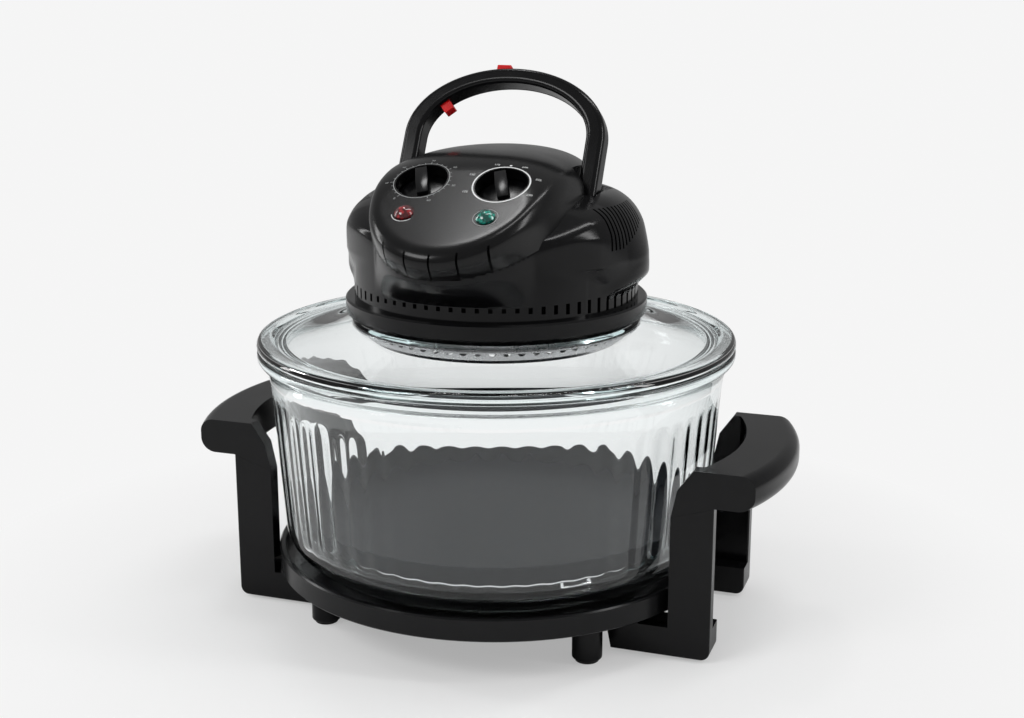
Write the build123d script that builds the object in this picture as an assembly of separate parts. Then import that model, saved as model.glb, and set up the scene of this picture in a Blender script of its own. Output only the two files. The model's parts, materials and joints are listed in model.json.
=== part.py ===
"""Tabletop halogen bowl oven: a glass bowl in a footed stand, with a lift-off lid that carries the
heater head, its fans, its control fascia and a swinging carry handle.

Frame: millimetres, +Z up, origin on the worktop under the bowl's centre, controls towards -Y.
"""
from build123d import *
import os
from math import asin, atan2, cos, degrees, radians, sin, sqrt

# ---------------------------------------------------------------- driving dimensions
# Running fits and seams
SEAT_GAP = 0.3            # between pieces that lift apart
SEAM = 0.1                # between fixed pieces of one body
RUN_FIT = 0.05            # radial clearance of a shaft or pin in its bore

# Glass bowl and lid
LIP_RADIUS = 165.0
LIP_THICK = 7.0
BOWL_TOP_Z = 187.0
WALL_TOP_RADIUS = 156.5
WALL_LOW_RADIUS = 149.5
WALL_LOW_Z = 64.0
GLASS_WALL = 5.5
FLUTES = 36
FOOT_RING_RADIUS = 124.0
BOWL_FLOOR_Z = 46.0
LID_RIM_RISE = 7.2
LID_HOLE_RADIUS = 95.0
LID_CROWN_Z = 207.4
LID_CROWN_LAND = 4.0      # flat land round the hole
LID_DISH_RADIUS = 130.0
LID_DISH_Z = 194.6
LID_GLASS = 5.0
LID_SKIRT_DROP = 7.0

# Stand
STAND_RADIUS = 154.5
STAND_RIM_Z = 45.9
STAND_SKIRT_Z = 30.5
STAND_WALL = 3.0
STAND_FLOOR_Z = 38.0
STAND_FLOOR = 3.0
STAND_HOLE_RADIUS = 62.0
FOOT_X, FOOT_Y = 94.0, 88.0
FOOT_RADIUS = 10.0
FOOT_PAD_RISE = 2.0

# Side handles: four L-shaped legs and two crescent grips
LEG_OUT_X = 171.0
LEG_WIDTH = 28.0
LEG_FACE_Y = 70.0
LEG_WEB = 10.0
ARM_DEPTH = 24.0
ARM_IN_X = 105.0
ARM_TOP_Z = 22.0
LEG_BOTTOM_Z = 2.0
LEG_TOP_OUT_Z = 107.0
LEG_TOP_IN_Z = 98.0
GRIP_TOP_Z = 131.0
GRIP_OUT_X = 211.0
GRIP_END_X = 197.0
GRIP_IN_X = 175.0

# Head: flange, housing and domed cover
FLANGE_RADIUS = 103.6
FLANGE_TOP_Z = 222.0
FLANGE_BAND_Z = 212.0
FLANGE_TAPER = 5.6        # how far the underside tapers in below the band
DECK_Z = 212.0            # top of the floor that carries the motor
HOUSING_WALL = 3.0
NECK_RADIUS = 97.5
POD_HALF_X = 104.5
POD_HALF_Y = 69.0
POD_LOW_Z = 239.0
POD_HIGH_Z = 253.0
HOUSING_TOP_Z = 292.4
DOME_HALF_X = 67.5
DOME_HALF_Y = 96.0
DOME_CENTRE_Y = -10.0
DOME_TOP_Z = 322.0
DOME_CROWN = 30.0         # height over which the dome's wall turns over into its crown
DOME_FULLNESS = 2.6       # 2 is an ellipse, more is squarer
DOME_STEPS = 9
VENTS = 72
VENT_WIDTH = 2.75
VENT_FRONT = (228.5, 231.5)    # heights of the vents under the fascia
VENT_SIDE = (223.2, 233.0)     # and of those at the sides and behind
VENT_FRONT_TURN = 27.0
VENT_SIDE_TURN = 62.0
POD_LOUVRES = 12
POD_LOUVRE_PITCH = 4.5
POD_LOUVRE_START = -38.0
POD_LOUVRE_WIDTH = 1.5

# Sloped control fascia, a tilted oval cap
FASCIA_SLOPE = 29.9
FASCIA_NOSE_Y = -130.3
FASCIA_NOSE_Z = 269.7
FASCIA_HALF_X = 62.5
FASCIA_LENGTH = 173.8
FASCIA_THICK = 17.0
FASCIA_EDGE = 3.0         # rounding of the face's rim
FASCIA_SKIRT_HALF_X = 71.0
FASCIA_SKIRT_LENGTH = 164.8
FASCIA_TUCK = -5.3        # the skirt's nose lies this far down the slope from the rim's
FASCIA_NOTCHES = 5
NOTCH_PITCH = 16.5
NOTCH_WIDTH = 1.3
NOTCH_DEPTH = 1.8
NOTCH_DROP = 4.5          # plain rim above the notches
KNOB_X = 27.2
KNOB_ALONG = 74.0         # knob axes, along the slope from the nose
LAMP_ALONG = 40.0
KNOB_RADIUS = 16.6
KNOB_WELL = 12.0
KNOB_GRIP_WIDTH = 8.0
KNOB_GRIP_RISE = 10.6
LAMP_RADIUS = 6.3

# Swinging carry handle
PIVOT_Y, PIVOT_Z = -2.0, 290.0
ARCH_LEAN = 29.0
ARCH_HALF_X = 72.0
ARCH_BAND = 13.0
ARCH_CROWN_BAND = 11.0
ARCH_DEPTH = 16.0
ARCH_STRAIGHT = 40.0
ARCH_HEIGHT = 90.0
PIN_RADIUS = 3.0

# Catches in the handle
ARCH_INSERT = 5.0
BUTTON_X = 8.0
BUTTON_LENGTH = 10.0
BUTTON_WIDTH = 8.0
TRIGGER_X = 47.0
TRIGGER_SIZE = 7.4
TRIGGER_TRAVEL = 3.0
TRIGGER_SHAFT = 7.0       # half the depth of the hole it slides in
TRIGGER_REACH = 6.75      # how far its face stands inside the arch's inner curve

# Supply entry and clamp
GLAND_Z = 246.0
GLAND_RADIUS = 7.0
CLAMP_SCREW_RADIUS = 93.0

# Heater and fans
GUARD_RADIUS = 90.0
GUARD_BOTTOM_Z = 190.5
GUARD_SHEET = 1.0
GUARD_HOLES = 60
GUARD_HOLE_RADIUS = 2.8
GUARD_HOLE_Z = 199.5
TUBE_RING_RADIUS = 70.0
TUBE_RADIUS = 5.0
TUBE_GAP = 14.0           # half the opening between the tube's two ends
FAN_RADIUS = 56.0
FAN_BLADES = 8
COOLING_RADIUS = 44.0
COOLING_BLADES = 9
SHAFT_RADIUS = 3.0
MOTOR_HALF = 30.0

# Inside the bowl
WIRE = 2.0                # radius of the rack's ring
FOOT_WIRE = 1.7
RACK_WIRE = 1.5           # radius of its cross wires
WIRE_LAP = 2.6            # the wires' centres lie this far above the ring's
RACK_BARS = 9
RACK_PITCH = 23.0
RACK_FOOT_WIDTH = 20.0
RACK_RADIUS = 118.0
RACK_RISE = 12.0
TRAY_RADIUS = 136.0
TRAY_DEPTH = 16.0
TRAY_SHEET = 1.2


# ---------------------------------------------------------------- shared places
def revolve_outline(points):
    """Turns a closed outline of (radius, z) points round the Z axis."""
    return revolve(Plane.XZ * make_face(Polyline(*points, close=True)), Axis.Z)


def ring(outer, inner, low, high):
    """Plain ring between two heights."""
    body = Pos(0, 0, low) * extrude(Circle(outer), high - low)
    return body - Pos(0, 0, low) * extrude(Circle(inner), high - low)


def rod(radius, start, end):
    """Round bar between two points."""
    line = Line(start, end)
    return extrude(Plane(origin=start, z_dir=line % 0) * Circle(radius), line.length)


def mirrored_x(shape):
    return mirror(shape, Plane.YZ)


def mirrored_y(shape):
    return mirror(shape, Plane.XZ)


LID_SEAT_Z = BOWL_TOP_Z + SEAT_GAP
LID_RIM_Z = LID_SEAT_Z + LID_RIM_RISE
LID_MOUTH_RADIUS = WALL_TOP_RADIUS - GLASS_WALL
TRAY_FLOOR_Z = BOWL_FLOOR_Z + RACK_RISE
RACK_Z = TRAY_FLOOR_Z - SEAT_GAP - RACK_WIRE - WIRE_LAP
COVER_TUCK_Z = HOUSING_TOP_Z - 16.0
FASCIA_AXIS = Location((0, FASCIA_NOSE_Y, FASCIA_NOSE_Z), (FASCIA_SLOPE, 0, 0))


# ---------------------------------------------------------------- stand
def stand_ring():
    """Moulded dish: outer skirt, floor with a centring rib for the bowl's foot, and radial ribs below."""
    low_floor = STAND_FLOOR_Z - STAND_FLOOR
    inner = STAND_RADIUS - STAND_WALL
    rim_in = inner - 1.5
    rib_in = FOOT_RING_RADIUS - 16.0
    dish = revolve_outline([
        (STAND_HOLE_RADIUS, low_floor - 3.0), (STAND_HOLE_RADIUS + 2.5, low_floor - 3.0),
        (STAND_HOLE_RADIUS + 2.5, low_floor), (inner, low_floor), (inner, STAND_SKIRT_Z),
        (STAND_RADIUS - 0.8, STAND_SKIRT_Z), (STAND_RADIUS, STAND_SKIRT_Z + 0.8),
        (STAND_RADIUS, STAND_RIM_Z - 1.0), (STAND_RADIUS - 1.0, STAND_RIM_Z),
        (rim_in + 0.8, STAND_RIM_Z), (rim_in, STAND_RIM_Z - 0.8), (rim_in - 1.0, STAND_FLOOR_Z),
        (rib_in, STAND_FLOOR_Z), (rib_in, STAND_FLOOR_Z + 2.2), (rib_in - 3.0, STAND_FLOOR_Z + 2.2),
        (rib_in - 3.0, STAND_FLOOR_Z), (STAND_HOLE_RADIUS, STAND_FLOOR_Z)])
    length = inner - STAND_HOLE_RADIUS
    rib = Pos(STAND_HOLE_RADIUS + length / 2, 0, low_floor - 1.5) * Box(length, 2.4, 3.0)
    for angle in range(15, 360, 30):
        dish += Rot(0, 0, angle) * rib
    for x, y in foot_places():
        dish += Pos(x, y, STAND_SKIRT_Z) * extrude(Circle(FOOT_RADIUS + 3.0), low_floor - STAND_SKIRT_Z)
        dish -= Pos(x, y, STAND_SKIRT_Z - 1) * extrude(
            Circle(FOOT_RADIUS + SEAM), low_floor - STAND_SKIRT_Z + 1)
    for x, y in leg_screw_places():
        dish += Pos(x, y, STAND_SKIRT_Z) * extrude(Circle(6.0), low_floor - STAND_SKIRT_Z)
        dish -= Pos(x, y, STAND_SKIRT_Z - 1) * extrude(Circle(2.0 + RUN_FIT), low_floor - STAND_SKIRT_Z + 1)
    return dish


def foot_places():
    return [(sx * FOOT_X, sy * FOOT_Y) for sx in (1, -1) for sy in (1, -1)]


def leg_screw_places():
    x = ARM_IN_X + 8.0
    y = LEG_FACE_Y - ARM_DEPTH / 2
    return [(sx * x, sy * y) for sx in (1, -1) for sy in (1, -1)]


def stand_feet():
    """Four round posts that plug into the sockets under the dish."""
    top = STAND_FLOOR_Z - STAND_FLOOR - SEAM
    post = Pos(0, 0, FOOT_PAD_RISE) * extrude(Circle(FOOT_RADIUS), top - FOOT_PAD_RISE)
    post = fillet(post.edges().group_by(Axis.Z)[0], 1.5)
    post -= Pos(0, 0, 0) * extrude(Circle(FOOT_RADIUS - 2.0 + SEAM), FOOT_PAD_RISE + 3.0)
    return [Pos(x, y, 0) * post for x, y in foot_places()]


def foot_pads():
    """Rubber discs let into the bottoms of the posts."""
    pad = extrude(Circle(FOOT_RADIUS - 2.0), FOOT_PAD_RISE + 3.0 - SEAM)
    pad = fillet(pad.edges().group_by(Axis.Z)[0], 0.8)
    return [Pos(x, y, 0) * pad for x, y in foot_places()]


def leg_top_slope():
    """Rise per millimetre of the joint between a leg and its grip."""
    return (LEG_TOP_OUT_Z - LEG_TOP_IN_Z) / LEG_WIDTH


def front_right_leg():
    """L-shaped moulding: a tall web, a deep foot arm and a pad that bolts under the stand."""
    in_x = LEG_OUT_X - LEG_WIDTH
    pad_top = STAND_SKIRT_Z - SEAM
    pad_out = ARM_IN_X + 18.0
    web = make_face(Polyline(
        (ARM_IN_X, LEG_BOTTOM_Z), (LEG_OUT_X, LEG_BOTTOM_Z), (LEG_OUT_X, LEG_TOP_OUT_Z),
        (in_x, LEG_TOP_IN_Z), (in_x, ARM_TOP_Z), (ARM_IN_X - 4.0, ARM_TOP_Z), close=True))
    arm = make_face(Polyline(
        (ARM_IN_X, LEG_BOTTOM_Z), (LEG_OUT_X, LEG_BOTTOM_Z), (LEG_OUT_X, ARM_TOP_Z),
        (pad_out, ARM_TOP_Z), (pad_out, pad_top), (ARM_IN_X - 6.0, pad_top),
        (ARM_IN_X - 4.0, ARM_TOP_Z), close=True))
    front = Plane.XZ.offset(LEG_FACE_Y)
    leg = extrude(front * web, -LEG_WEB) + extrude(front * arm, -ARM_DEPTH)
    leg = fillet(leg.edges().filter_by(Axis.Y).group_by(Axis.X)[-1].group_by(Axis.Z)[0], 6.0)
    leg = fillet(leg.edges().filter_by(Axis.Z).group_by(Axis.X)[-1], 1.2)
    tenon_x = LEG_OUT_X - LEG_WIDTH / 2
    leg += Pos(tenon_x, -LEG_FACE_Y + LEG_WEB / 2, LEG_TOP_IN_Z + 8.0) * Box(14, 5, 14)
    x, y = ARM_IN_X + 8.0, LEG_FACE_Y - ARM_DEPTH / 2
    leg -= Pos(x, -y, 0) * extrude(Circle(2.0 + RUN_FIT), STAND_RIM_Z)
    leg -= Pos(x, -y, 0) * extrude(Circle(4.2), LEG_BOTTOM_Z + 6.0)
    return leg


def leg_screws():
    """Pan-head screws from under each arm into the stand."""
    head = Pos(0, 0, LEG_BOTTOM_Z + 6.0 - 2.6) * extrude(Circle(3.8), 2.6)
    shank = Pos(0, 0, LEG_BOTTOM_Z + 6.0) * extrude(
        Circle(2.0), STAND_FLOOR_Z - STAND_FLOOR - 1.0 - LEG_BOTTOM_Z - 6.0)
    screw = fillet(head.edges().group_by(Axis.Z)[0], 1.0) + shank
    screw -= Pos(0, 0, LEG_BOTTOM_Z + 6.0 - 2.6) * (Box(4.0, 0.9, 2.4) + Box(0.9, 4.0, 2.4))
    return [Pos(x, y, 0) * screw for x, y in leg_screw_places()]


def right_grip():
    """Crescent handle: bull-nosed outer side, concave inner side, and an end block over each leg."""
    in_x = LEG_OUT_X - LEG_WIDTH
    end_in = in_x + 4.0
    low = LEG_TOP_OUT_Z + SEAM
    plan = make_face([
        Line((end_in + 10, -LEG_FACE_Y), (GRIP_END_X, -LEG_FACE_Y)),
        ThreePointArc((GRIP_END_X, -LEG_FACE_Y), (GRIP_OUT_X, 0), (GRIP_END_X, LEG_FACE_Y)),
        Line((GRIP_END_X, LEG_FACE_Y), (end_in + 10, LEG_FACE_Y)),
        Line((end_in + 10, LEG_FACE_Y), (end_in + 14, LEG_FACE_Y - 8)),
        ThreePointArc((end_in + 14, LEG_FACE_Y - 8), (GRIP_IN_X, 0), (end_in + 14, -LEG_FACE_Y + 8)),
        Line((end_in + 14, -LEG_FACE_Y + 8), (end_in + 10, -LEG_FACE_Y))])
    bar = Pos(0, 0, low) * extrude(plan, GRIP_TOP_Z - low)
    outer = bar.edges().filter_by(GeomType.CIRCLE).group_by(Axis.X)[-1]
    bar = fillet(outer.group_by(Axis.Z)[-1], 9.0)
    outer = bar.edges().filter_by(GeomType.CIRCLE).group_by(Axis.Z)[0].group_by(Axis.X)[-1]
    bar = fillet(outer, 10.0)
    slope = leg_top_slope()
    end = make_face(Polyline(
        (in_x, LEG_TOP_IN_Z + SEAM), (LEG_OUT_X, LEG_TOP_OUT_Z + SEAM),
        (LEG_OUT_X + 8.0, LEG_TOP_OUT_Z + 8.0 * slope), (LEG_OUT_X + 8.0, GRIP_TOP_Z),
        (end_in + 10, GRIP_TOP_Z), (end_in, LEG_TOP_IN_Z + 19.0), close=True))
    block = extrude(Plane.XZ.offset(LEG_FACE_Y) * end, -LEG_WEB)
    socket = Pos(LEG_OUT_X - LEG_WIDTH / 2, -LEG_FACE_Y + LEG_WEB / 2, LEG_TOP_IN_Z + 8.0) * Box(
        14 + 2 * SEAM, 5 + 2 * SEAM, 14 + 2 * SEAM)
    grip = bar + block + mirrored_y(block)
    grip = grip - socket - mirrored_y(socket)
    return grip


# ---------------------------------------------------------------- glass
def bowl_profile_outer():
    """Radius and height of the bowl's outside, from under the lip down to the foot."""
    return [(LIP_RADIUS, BOWL_TOP_Z), (LIP_RADIUS, BOWL_TOP_Z - LIP_THICK + 2.5),
            (LIP_RADIUS - 2.5, BOWL_TOP_Z - LIP_THICK), (WALL_TOP_RADIUS + 1.5, BOWL_TOP_Z - 14.0),
            (WALL_TOP_RADIUS, BOWL_TOP_Z - 24.0), (WALL_LOW_RADIUS, WALL_LOW_Z)]


def glass_bowl():
    """Pressed bowl: rolled lip, tapered wall with flat flutes inside, round heel and a foot ring."""
    heel_in = FOOT_RING_RADIUS + 8.0
    under = STAND_FLOOR_Z + SEAT_GAP + 2.2
    mouth = LID_MOUTH_RADIUS
    low_in = WALL_LOW_RADIUS - GLASS_WALL
    heel_mid = (WALL_LOW_RADIUS - 4.4, WALL_LOW_Z - 13.5)
    outer = bowl_profile_outer()
    edges = [Line(outer[i], outer[i + 1]) for i in range(len(outer) - 1)]
    edges += [
        ThreePointArc(outer[-1], heel_mid, (heel_in, under)),
        Line((heel_in, under), (FOOT_RING_RADIUS, under)),
        Line((FOOT_RING_RADIUS, under), (FOOT_RING_RADIUS - 1.0, STAND_FLOOR_Z + SEAT_GAP)),
        Line((FOOT_RING_RADIUS - 1.0, STAND_FLOOR_Z + SEAT_GAP),
             (FOOT_RING_RADIUS - 8.0, STAND_FLOOR_Z + SEAT_GAP)),
        Line((FOOT_RING_RADIUS - 8.0, STAND_FLOOR_Z + SEAT_GAP), (FOOT_RING_RADIUS - 9.0, under)),
        Line((FOOT_RING_RADIUS - 9.0, under), (0, under)),
        Line((0, under), (0, BOWL_FLOOR_Z)),
        Line((0, BOWL_FLOOR_Z), (heel_in - 4.0, BOWL_FLOOR_Z)),
        ThreePointArc((heel_in - 4.0, BOWL_FLOOR_Z), (low_in - 4.0, WALL_LOW_Z - 10.0),
                      (low_in, WALL_LOW_Z + 2.0)),
        Line((low_in, WALL_LOW_Z + 2.0), (mouth, BOWL_TOP_Z - 24.0)),
        Line((mouth, BOWL_TOP_Z - 24.0), (mouth + 1.0, BOWL_TOP_Z - 2.0)),
        Line((mouth + 1.0, BOWL_TOP_Z - 2.0), (mouth + 3.0, BOWL_TOP_Z)),
        Line((mouth + 3.0, BOWL_TOP_Z), (LIP_RADIUS, BOWL_TOP_Z))]
    bowl = revolve(Plane.XZ * make_face(edges), Axis.Z)
    flat = cos(radians(180 / FLUTES))
    low_z, high_z = WALL_LOW_Z + 8.0, BOWL_TOP_Z - 28.0
    span = (mouth - low_in) / (BOWL_TOP_Z - 26.0 - WALL_LOW_Z)
    low_r = low_in + span * (low_z - WALL_LOW_Z - 2.0) + 0.55
    high_r = low_in + span * (high_z - WALL_LOW_Z - 2.0) + 0.55
    low_poly = Pos(0, 0, low_z) * RegularPolygon(low_r / flat, FLUTES)
    high_poly = Pos(0, 0, high_z) * RegularPolygon(high_r / flat, FLUTES)
    return bowl - loft([low_poly, high_poly], ruled=True)


def glass_lid():
    """Domed annular lid: thick rim on the bowl's lip, a locating skirt inside it, and a centre hole."""
    skirt = LID_MOUTH_RADIUS - 1.2
    shoulder = LIP_RADIUS - 10.0
    crown = LID_HOLE_RADIUS + LID_CROWN_LAND
    edges = [
        Line((LIP_RADIUS - 1.5, LID_SEAT_Z), (LIP_RADIUS, LID_SEAT_Z + 1.5)),
        Line((LIP_RADIUS, LID_SEAT_Z + 1.5), (LIP_RADIUS, LID_RIM_Z - 3.0)),
        ThreePointArc((LIP_RADIUS, LID_RIM_Z - 3.0), (LIP_RADIUS - 0.9, LID_RIM_Z - 0.9),
                      (LIP_RADIUS - 3.0, LID_RIM_Z)),
        Line((LIP_RADIUS - 3.0, LID_RIM_Z), (shoulder, LID_RIM_Z - 0.6)),
        Line((shoulder, LID_RIM_Z - 0.6), (shoulder - 1.5, LID_RIM_Z - 2.0)),
        ThreePointArc((shoulder - 1.5, LID_RIM_Z - 2.0), (LID_DISH_RADIUS, LID_DISH_Z),
                      (crown, LID_CROWN_Z - 0.8)),
        Line((crown, LID_CROWN_Z - 0.8), (crown - 1.5, LID_CROWN_Z)),
        Line((crown - 1.5, LID_CROWN_Z), (LID_HOLE_RADIUS, LID_CROWN_Z)),
        Line((LID_HOLE_RADIUS, LID_CROWN_Z), (LID_HOLE_RADIUS, LID_CROWN_Z - LID_GLASS)),
        Line((LID_HOLE_RADIUS, LID_CROWN_Z - LID_GLASS), (crown, LID_CROWN_Z - LID_GLASS)),
        ThreePointArc((crown, LID_CROWN_Z - LID_GLASS), (LID_DISH_RADIUS - 1.0, LID_DISH_Z - LID_GLASS),
                      (skirt - 5.0, LID_RIM_Z - 6.9)),
        Line((skirt - 5.0, LID_RIM_Z - 6.9), (skirt - 5.0, LID_SEAT_Z - LID_SKIRT_DROP + 1.5)),
        Line((skirt - 5.0, LID_SEAT_Z - LID_SKIRT_DROP + 1.5), (skirt - 3.5, LID_SEAT_Z - LID_SKIRT_DROP)),
        Line((skirt - 3.5, LID_SEAT_Z - LID_SKIRT_DROP), (skirt - 1.5, LID_SEAT_Z - LID_SKIRT_DROP)),
        Line((skirt - 1.5, LID_SEAT_Z - LID_SKIRT_DROP), (skirt, LID_SEAT_Z - LID_SKIRT_DROP + 1.5)),
        Line((skirt, LID_SEAT_Z - LID_SKIRT_DROP + 1.5), (skirt, LID_SEAT_Z)),
        Line((skirt, LID_SEAT_Z), (LIP_RADIUS - 1.5, LID_SEAT_Z))]
    return revolve(Plane.XZ * make_face(edges), Axis.Z)


# ---------------------------------------------------------------- cookware
def baking_tray():
    """Pressed round pan with a tapered wall and a turned-out rim."""
    floor, top = TRAY_FLOOR_Z, TRAY_FLOOR_Z + TRAY_DEPTH
    foot = TRAY_RADIUS - 7.0
    rim = TRAY_RADIUS
    return revolve_outline([
        (0, floor), (foot - 2.0, floor), (foot, floor + 1.6), (rim - 2.5, top - TRAY_SHEET),
        (rim, top - TRAY_SHEET), (rim, top), (rim - 3.6, top), (foot - 1.4, floor + 2.2),
        (foot - 2.6, floor + TRAY_SHEET), (0, floor + TRAY_SHEET)])


def rack_foot():
    """One U of bent wire, its ends welded to the ring and its flat on the bowl's floor."""
    low = BOWL_FLOOR_Z + SEAT_GAP + FOOT_WIRE
    half = RACK_FOOT_WIDTH / 2
    out = RACK_RADIUS + 2.0
    foot = rod(FOOT_WIRE, (out, -half, low), (out, half, low))
    for side in (-half, half):
        top = (sqrt(RACK_RADIUS ** 2 - side ** 2) - 0.4, side, RACK_Z + 0.2)
        foot += rod(FOOT_WIRE, (out, side, low - 0.3), top)
    return foot


def wire_rack():
    """Low rack: a ring, parallel wires welded across it, a cross wire below and U-shaped feet."""
    high = RACK_Z + WIRE_LAP
    wires = [rod(RACK_WIRE, (0, 1.0 - RACK_RADIUS, RACK_Z), (0, RACK_RADIUS - 1.0, RACK_Z))]
    for i in range(RACK_BARS):
        y = RACK_PITCH * (i - (RACK_BARS - 1) / 2)
        half = sqrt(RACK_RADIUS ** 2 - y ** 2) + 0.9
        wires.append(rod(RACK_WIRE, (-half, y, high), (half, y, high)))
    wires += [Rot(0, 0, angle) * rack_foot() for angle in (75, 195, 315)]
    hoop = revolve(Plane.XZ * Pos(RACK_RADIUS, RACK_Z) * RegularPolygon(WIRE, 12), Axis.Z)
    return hoop + wires


# ---------------------------------------------------------------- head, hot side
def retaining_ring():
    """Pressed ring that clamps the lid glass up against the flange."""
    top = LID_CROWN_Z - LID_GLASS - SEAM
    rim = LID_HOLE_RADIUS + LID_CROWN_LAND - SEAM
    return revolve_outline([
        (GUARD_RADIUS + 0.2, top - 1.2), (rim, top - 1.2), (rim, top),
        (LID_HOLE_RADIUS - 0.6, top), (LID_HOLE_RADIUS - 0.6, flange_under() - SEAM),
        (GUARD_RADIUS + 0.2, flange_under() - SEAM)])


def flange_under():
    """Underside of the flange where it rests on the lid glass."""
    return LID_CROWN_Z + SEAM


def head_flange():
    """Moulded base of the head: outer band, tapered underside, floor plate and the neck's spigot."""
    low = flange_under()
    hole = 14.0
    flange = revolve_outline([
        (hole, DECK_Z - 3.0), (hole, DECK_Z), (NECK_RADIUS - 8.0, DECK_Z),
        (NECK_RADIUS - 8.0, FLANGE_TOP_Z - 3.0), (NECK_RADIUS - HOUSING_WALL - 2.4, FLANGE_TOP_Z),
        (NECK_RADIUS - HOUSING_WALL - 2.4, FLANGE_TOP_Z + 3.0),
        (NECK_RADIUS - HOUSING_WALL - 0.2, FLANGE_TOP_Z + 3.0),
        (NECK_RADIUS - HOUSING_WALL - 0.2, FLANGE_TOP_Z), (FLANGE_RADIUS - 1.2, FLANGE_TOP_Z),
        (FLANGE_RADIUS, FLANGE_TOP_Z - 1.2), (FLANGE_RADIUS, FLANGE_BAND_Z),
        (FLANGE_RADIUS - FLANGE_TAPER, low), (GUARD_RADIUS + 0.2, low), (GUARD_RADIUS + 0.2, DECK_Z - 3.0)])
    return flange


def reflector():
    """Spun dish above the heater that throws its light down; the motor shaft passes its centre."""
    top = DECK_Z - 3.0 - SEAM
    rim = GUARD_RADIUS - GUARD_SHEET - 0.4
    return revolve_outline([
        (8.0, top), (8.0, top - 0.8), (38.0, top - 0.8), (44.0, top - 2.6), (rim - 6.0, top - 2.6),
        (rim, top - 4.2), (rim, top - 3.4), (rim - 6.0, top - 1.8), (44.4, top - 1.8), (38.4, top)])


def fan_guard():
    """Perforated cup round the heater: a pierced wall, a turned-in edge and a slotted floor."""
    top = DECK_Z - 3.0 - SEAM - 1.8
    r = GUARD_RADIUS
    low = GUARD_BOTTOM_Z
    guard = revolve_outline([
        (18.0, low), (r - 4.0, low), (r, low + 3.4), (r, top), (r - GUARD_SHEET, top),
        (r - GUARD_SHEET, low + 3.9), (r - 4.4, low + GUARD_SHEET), (18.0, low + GUARD_SHEET)])
    hole = rod(GUARD_HOLE_RADIUS, (r - 3.0, 0, GUARD_HOLE_Z), (r + 2.0, 0, GUARD_HOLE_Z))
    guard -= [Rot(0, 0, i * 360 / GUARD_HOLES) * hole for i in range(GUARD_HOLES)]
    slots = []
    for start, end, count in ((26.0, 48.0, 16), (54.0, 80.0, 32)):
        slot = Pos((start + end) / 2, 0, low) * Box(end - start, 4.2, 6.0)
        slots += [Rot(0, 0, (i + 0.5) * 360 / count) * slot for i in range(count)]
    return guard - slots


def reflector_under():
    """Underside of the reflector's outer plain zone."""
    return DECK_Z - 3.0 - SEAM - 2.6


def halogen_tube():
    """Ring-shaped heater tube, open by a gap where the ceramic holders take its ends."""
    z = GUARD_BOTTOM_Z + 9.0
    half = degrees(asin(TUBE_GAP / TUBE_RING_RADIUS))
    arc = CenterArc((0, 0, z), TUBE_RING_RADIUS, 90 + half, 360 - 2 * half)
    start = arc @ 0
    tube = sweep(Plane(origin=start, z_dir=arc % 0) * Circle(TUBE_RADIUS), path=arc)
    return tube


def tube_ends():
    """Ceramic blocks that hold the tube's two ends under the reflector."""
    z = GUARD_BOTTOM_Z + 9.0
    low = z - TUBE_RADIUS - 1.5
    width = 9.0
    top = reflector_under() - SEAM
    turn = degrees(asin(TUBE_GAP / TUBE_RING_RADIUS))
    block = Box(width, 15.0, top - low)
    block = fillet(block.edges().filter_by(Axis.Z), 1.5)
    height = (low + top) / 2
    return [Rot(0, 0, side * turn) * Pos(side * (width / 2 + SEAM), TUBE_RING_RADIUS, height) * block
            for side in (-1, 1)]


def tube_clips():
    """Three spring-wire loops that carry the tube from the reflector."""
    z = GUARD_BOTTOM_Z + 9.0
    top = reflector_under() - SEAM
    wire = 0.8
    reach = TUBE_RADIUS + SEAM + wire
    loop = Pos(TUBE_RING_RADIUS, 0, z) * Rot(90, 0, 0) * Torus(reach, wire)
    stem = rod(wire, (TUBE_RING_RADIUS, 0, z + reach), (TUBE_RING_RADIUS, 0, top))
    clip = loop + stem
    return [Rot(0, 0, angle) * clip for angle in (-90, -10, 190)]


def convection_fan():
    """Pressed air circulation fan: hub, disc and bent-down blades."""
    z = GUARD_BOTTOM_Z + 11.0
    fan = Pos(0, 0, z) * extrude(Circle(20.0), 1.2) + Pos(0, 0, z - 3.0) * extrude(Circle(7.0), 8.0)
    span = FAN_RADIUS - 16.0
    blade = Pos(16.0 + span / 2, 0, z - 2.6) * Rot(38, 0, 0) * Box(span, 13.0, 1.2)
    for i in range(FAN_BLADES):
        fan += Rot(0, 0, i * 360 / FAN_BLADES) * blade
    limit = Pos(0, 0, z - 12) * extrude(Circle(FAN_RADIUS), 24)
    fan = fan & limit
    return fan - Pos(0, 0, z - 20) * extrude(Circle(SHAFT_RADIUS), 40)


def fan_nut():
    """Left-hand nut that holds the fan on the shaft's tip."""
    z = GUARD_BOTTOM_Z + 8.0
    nut = Pos(0, 0, z - 4.0) * extrude(RegularPolygon(5.0, 6), 4.0)
    return nut - Pos(0, 0, z - 5.0) * extrude(Circle(SHAFT_RADIUS), 6.0)


# ---------------------------------------------------------------- head, drive
MOTOR_LOW_Z = 238.0
MOTOR_STACK = 18.0
SHAFT_TOP_Z = MOTOR_LOW_Z + MOTOR_STACK + 16.0


def motor_shaft():
    """Steel shaft that carries both fans and the rotor."""
    low = GUARD_BOTTOM_Z + 3.2
    shaft = Pos(0, 0, low) * extrude(Circle(SHAFT_RADIUS), SHAFT_TOP_Z - low)
    return chamfer(shaft.edges().group_by(Axis.Z)[-1] + shaft.edges().group_by(Axis.Z)[0], 0.5)


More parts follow.
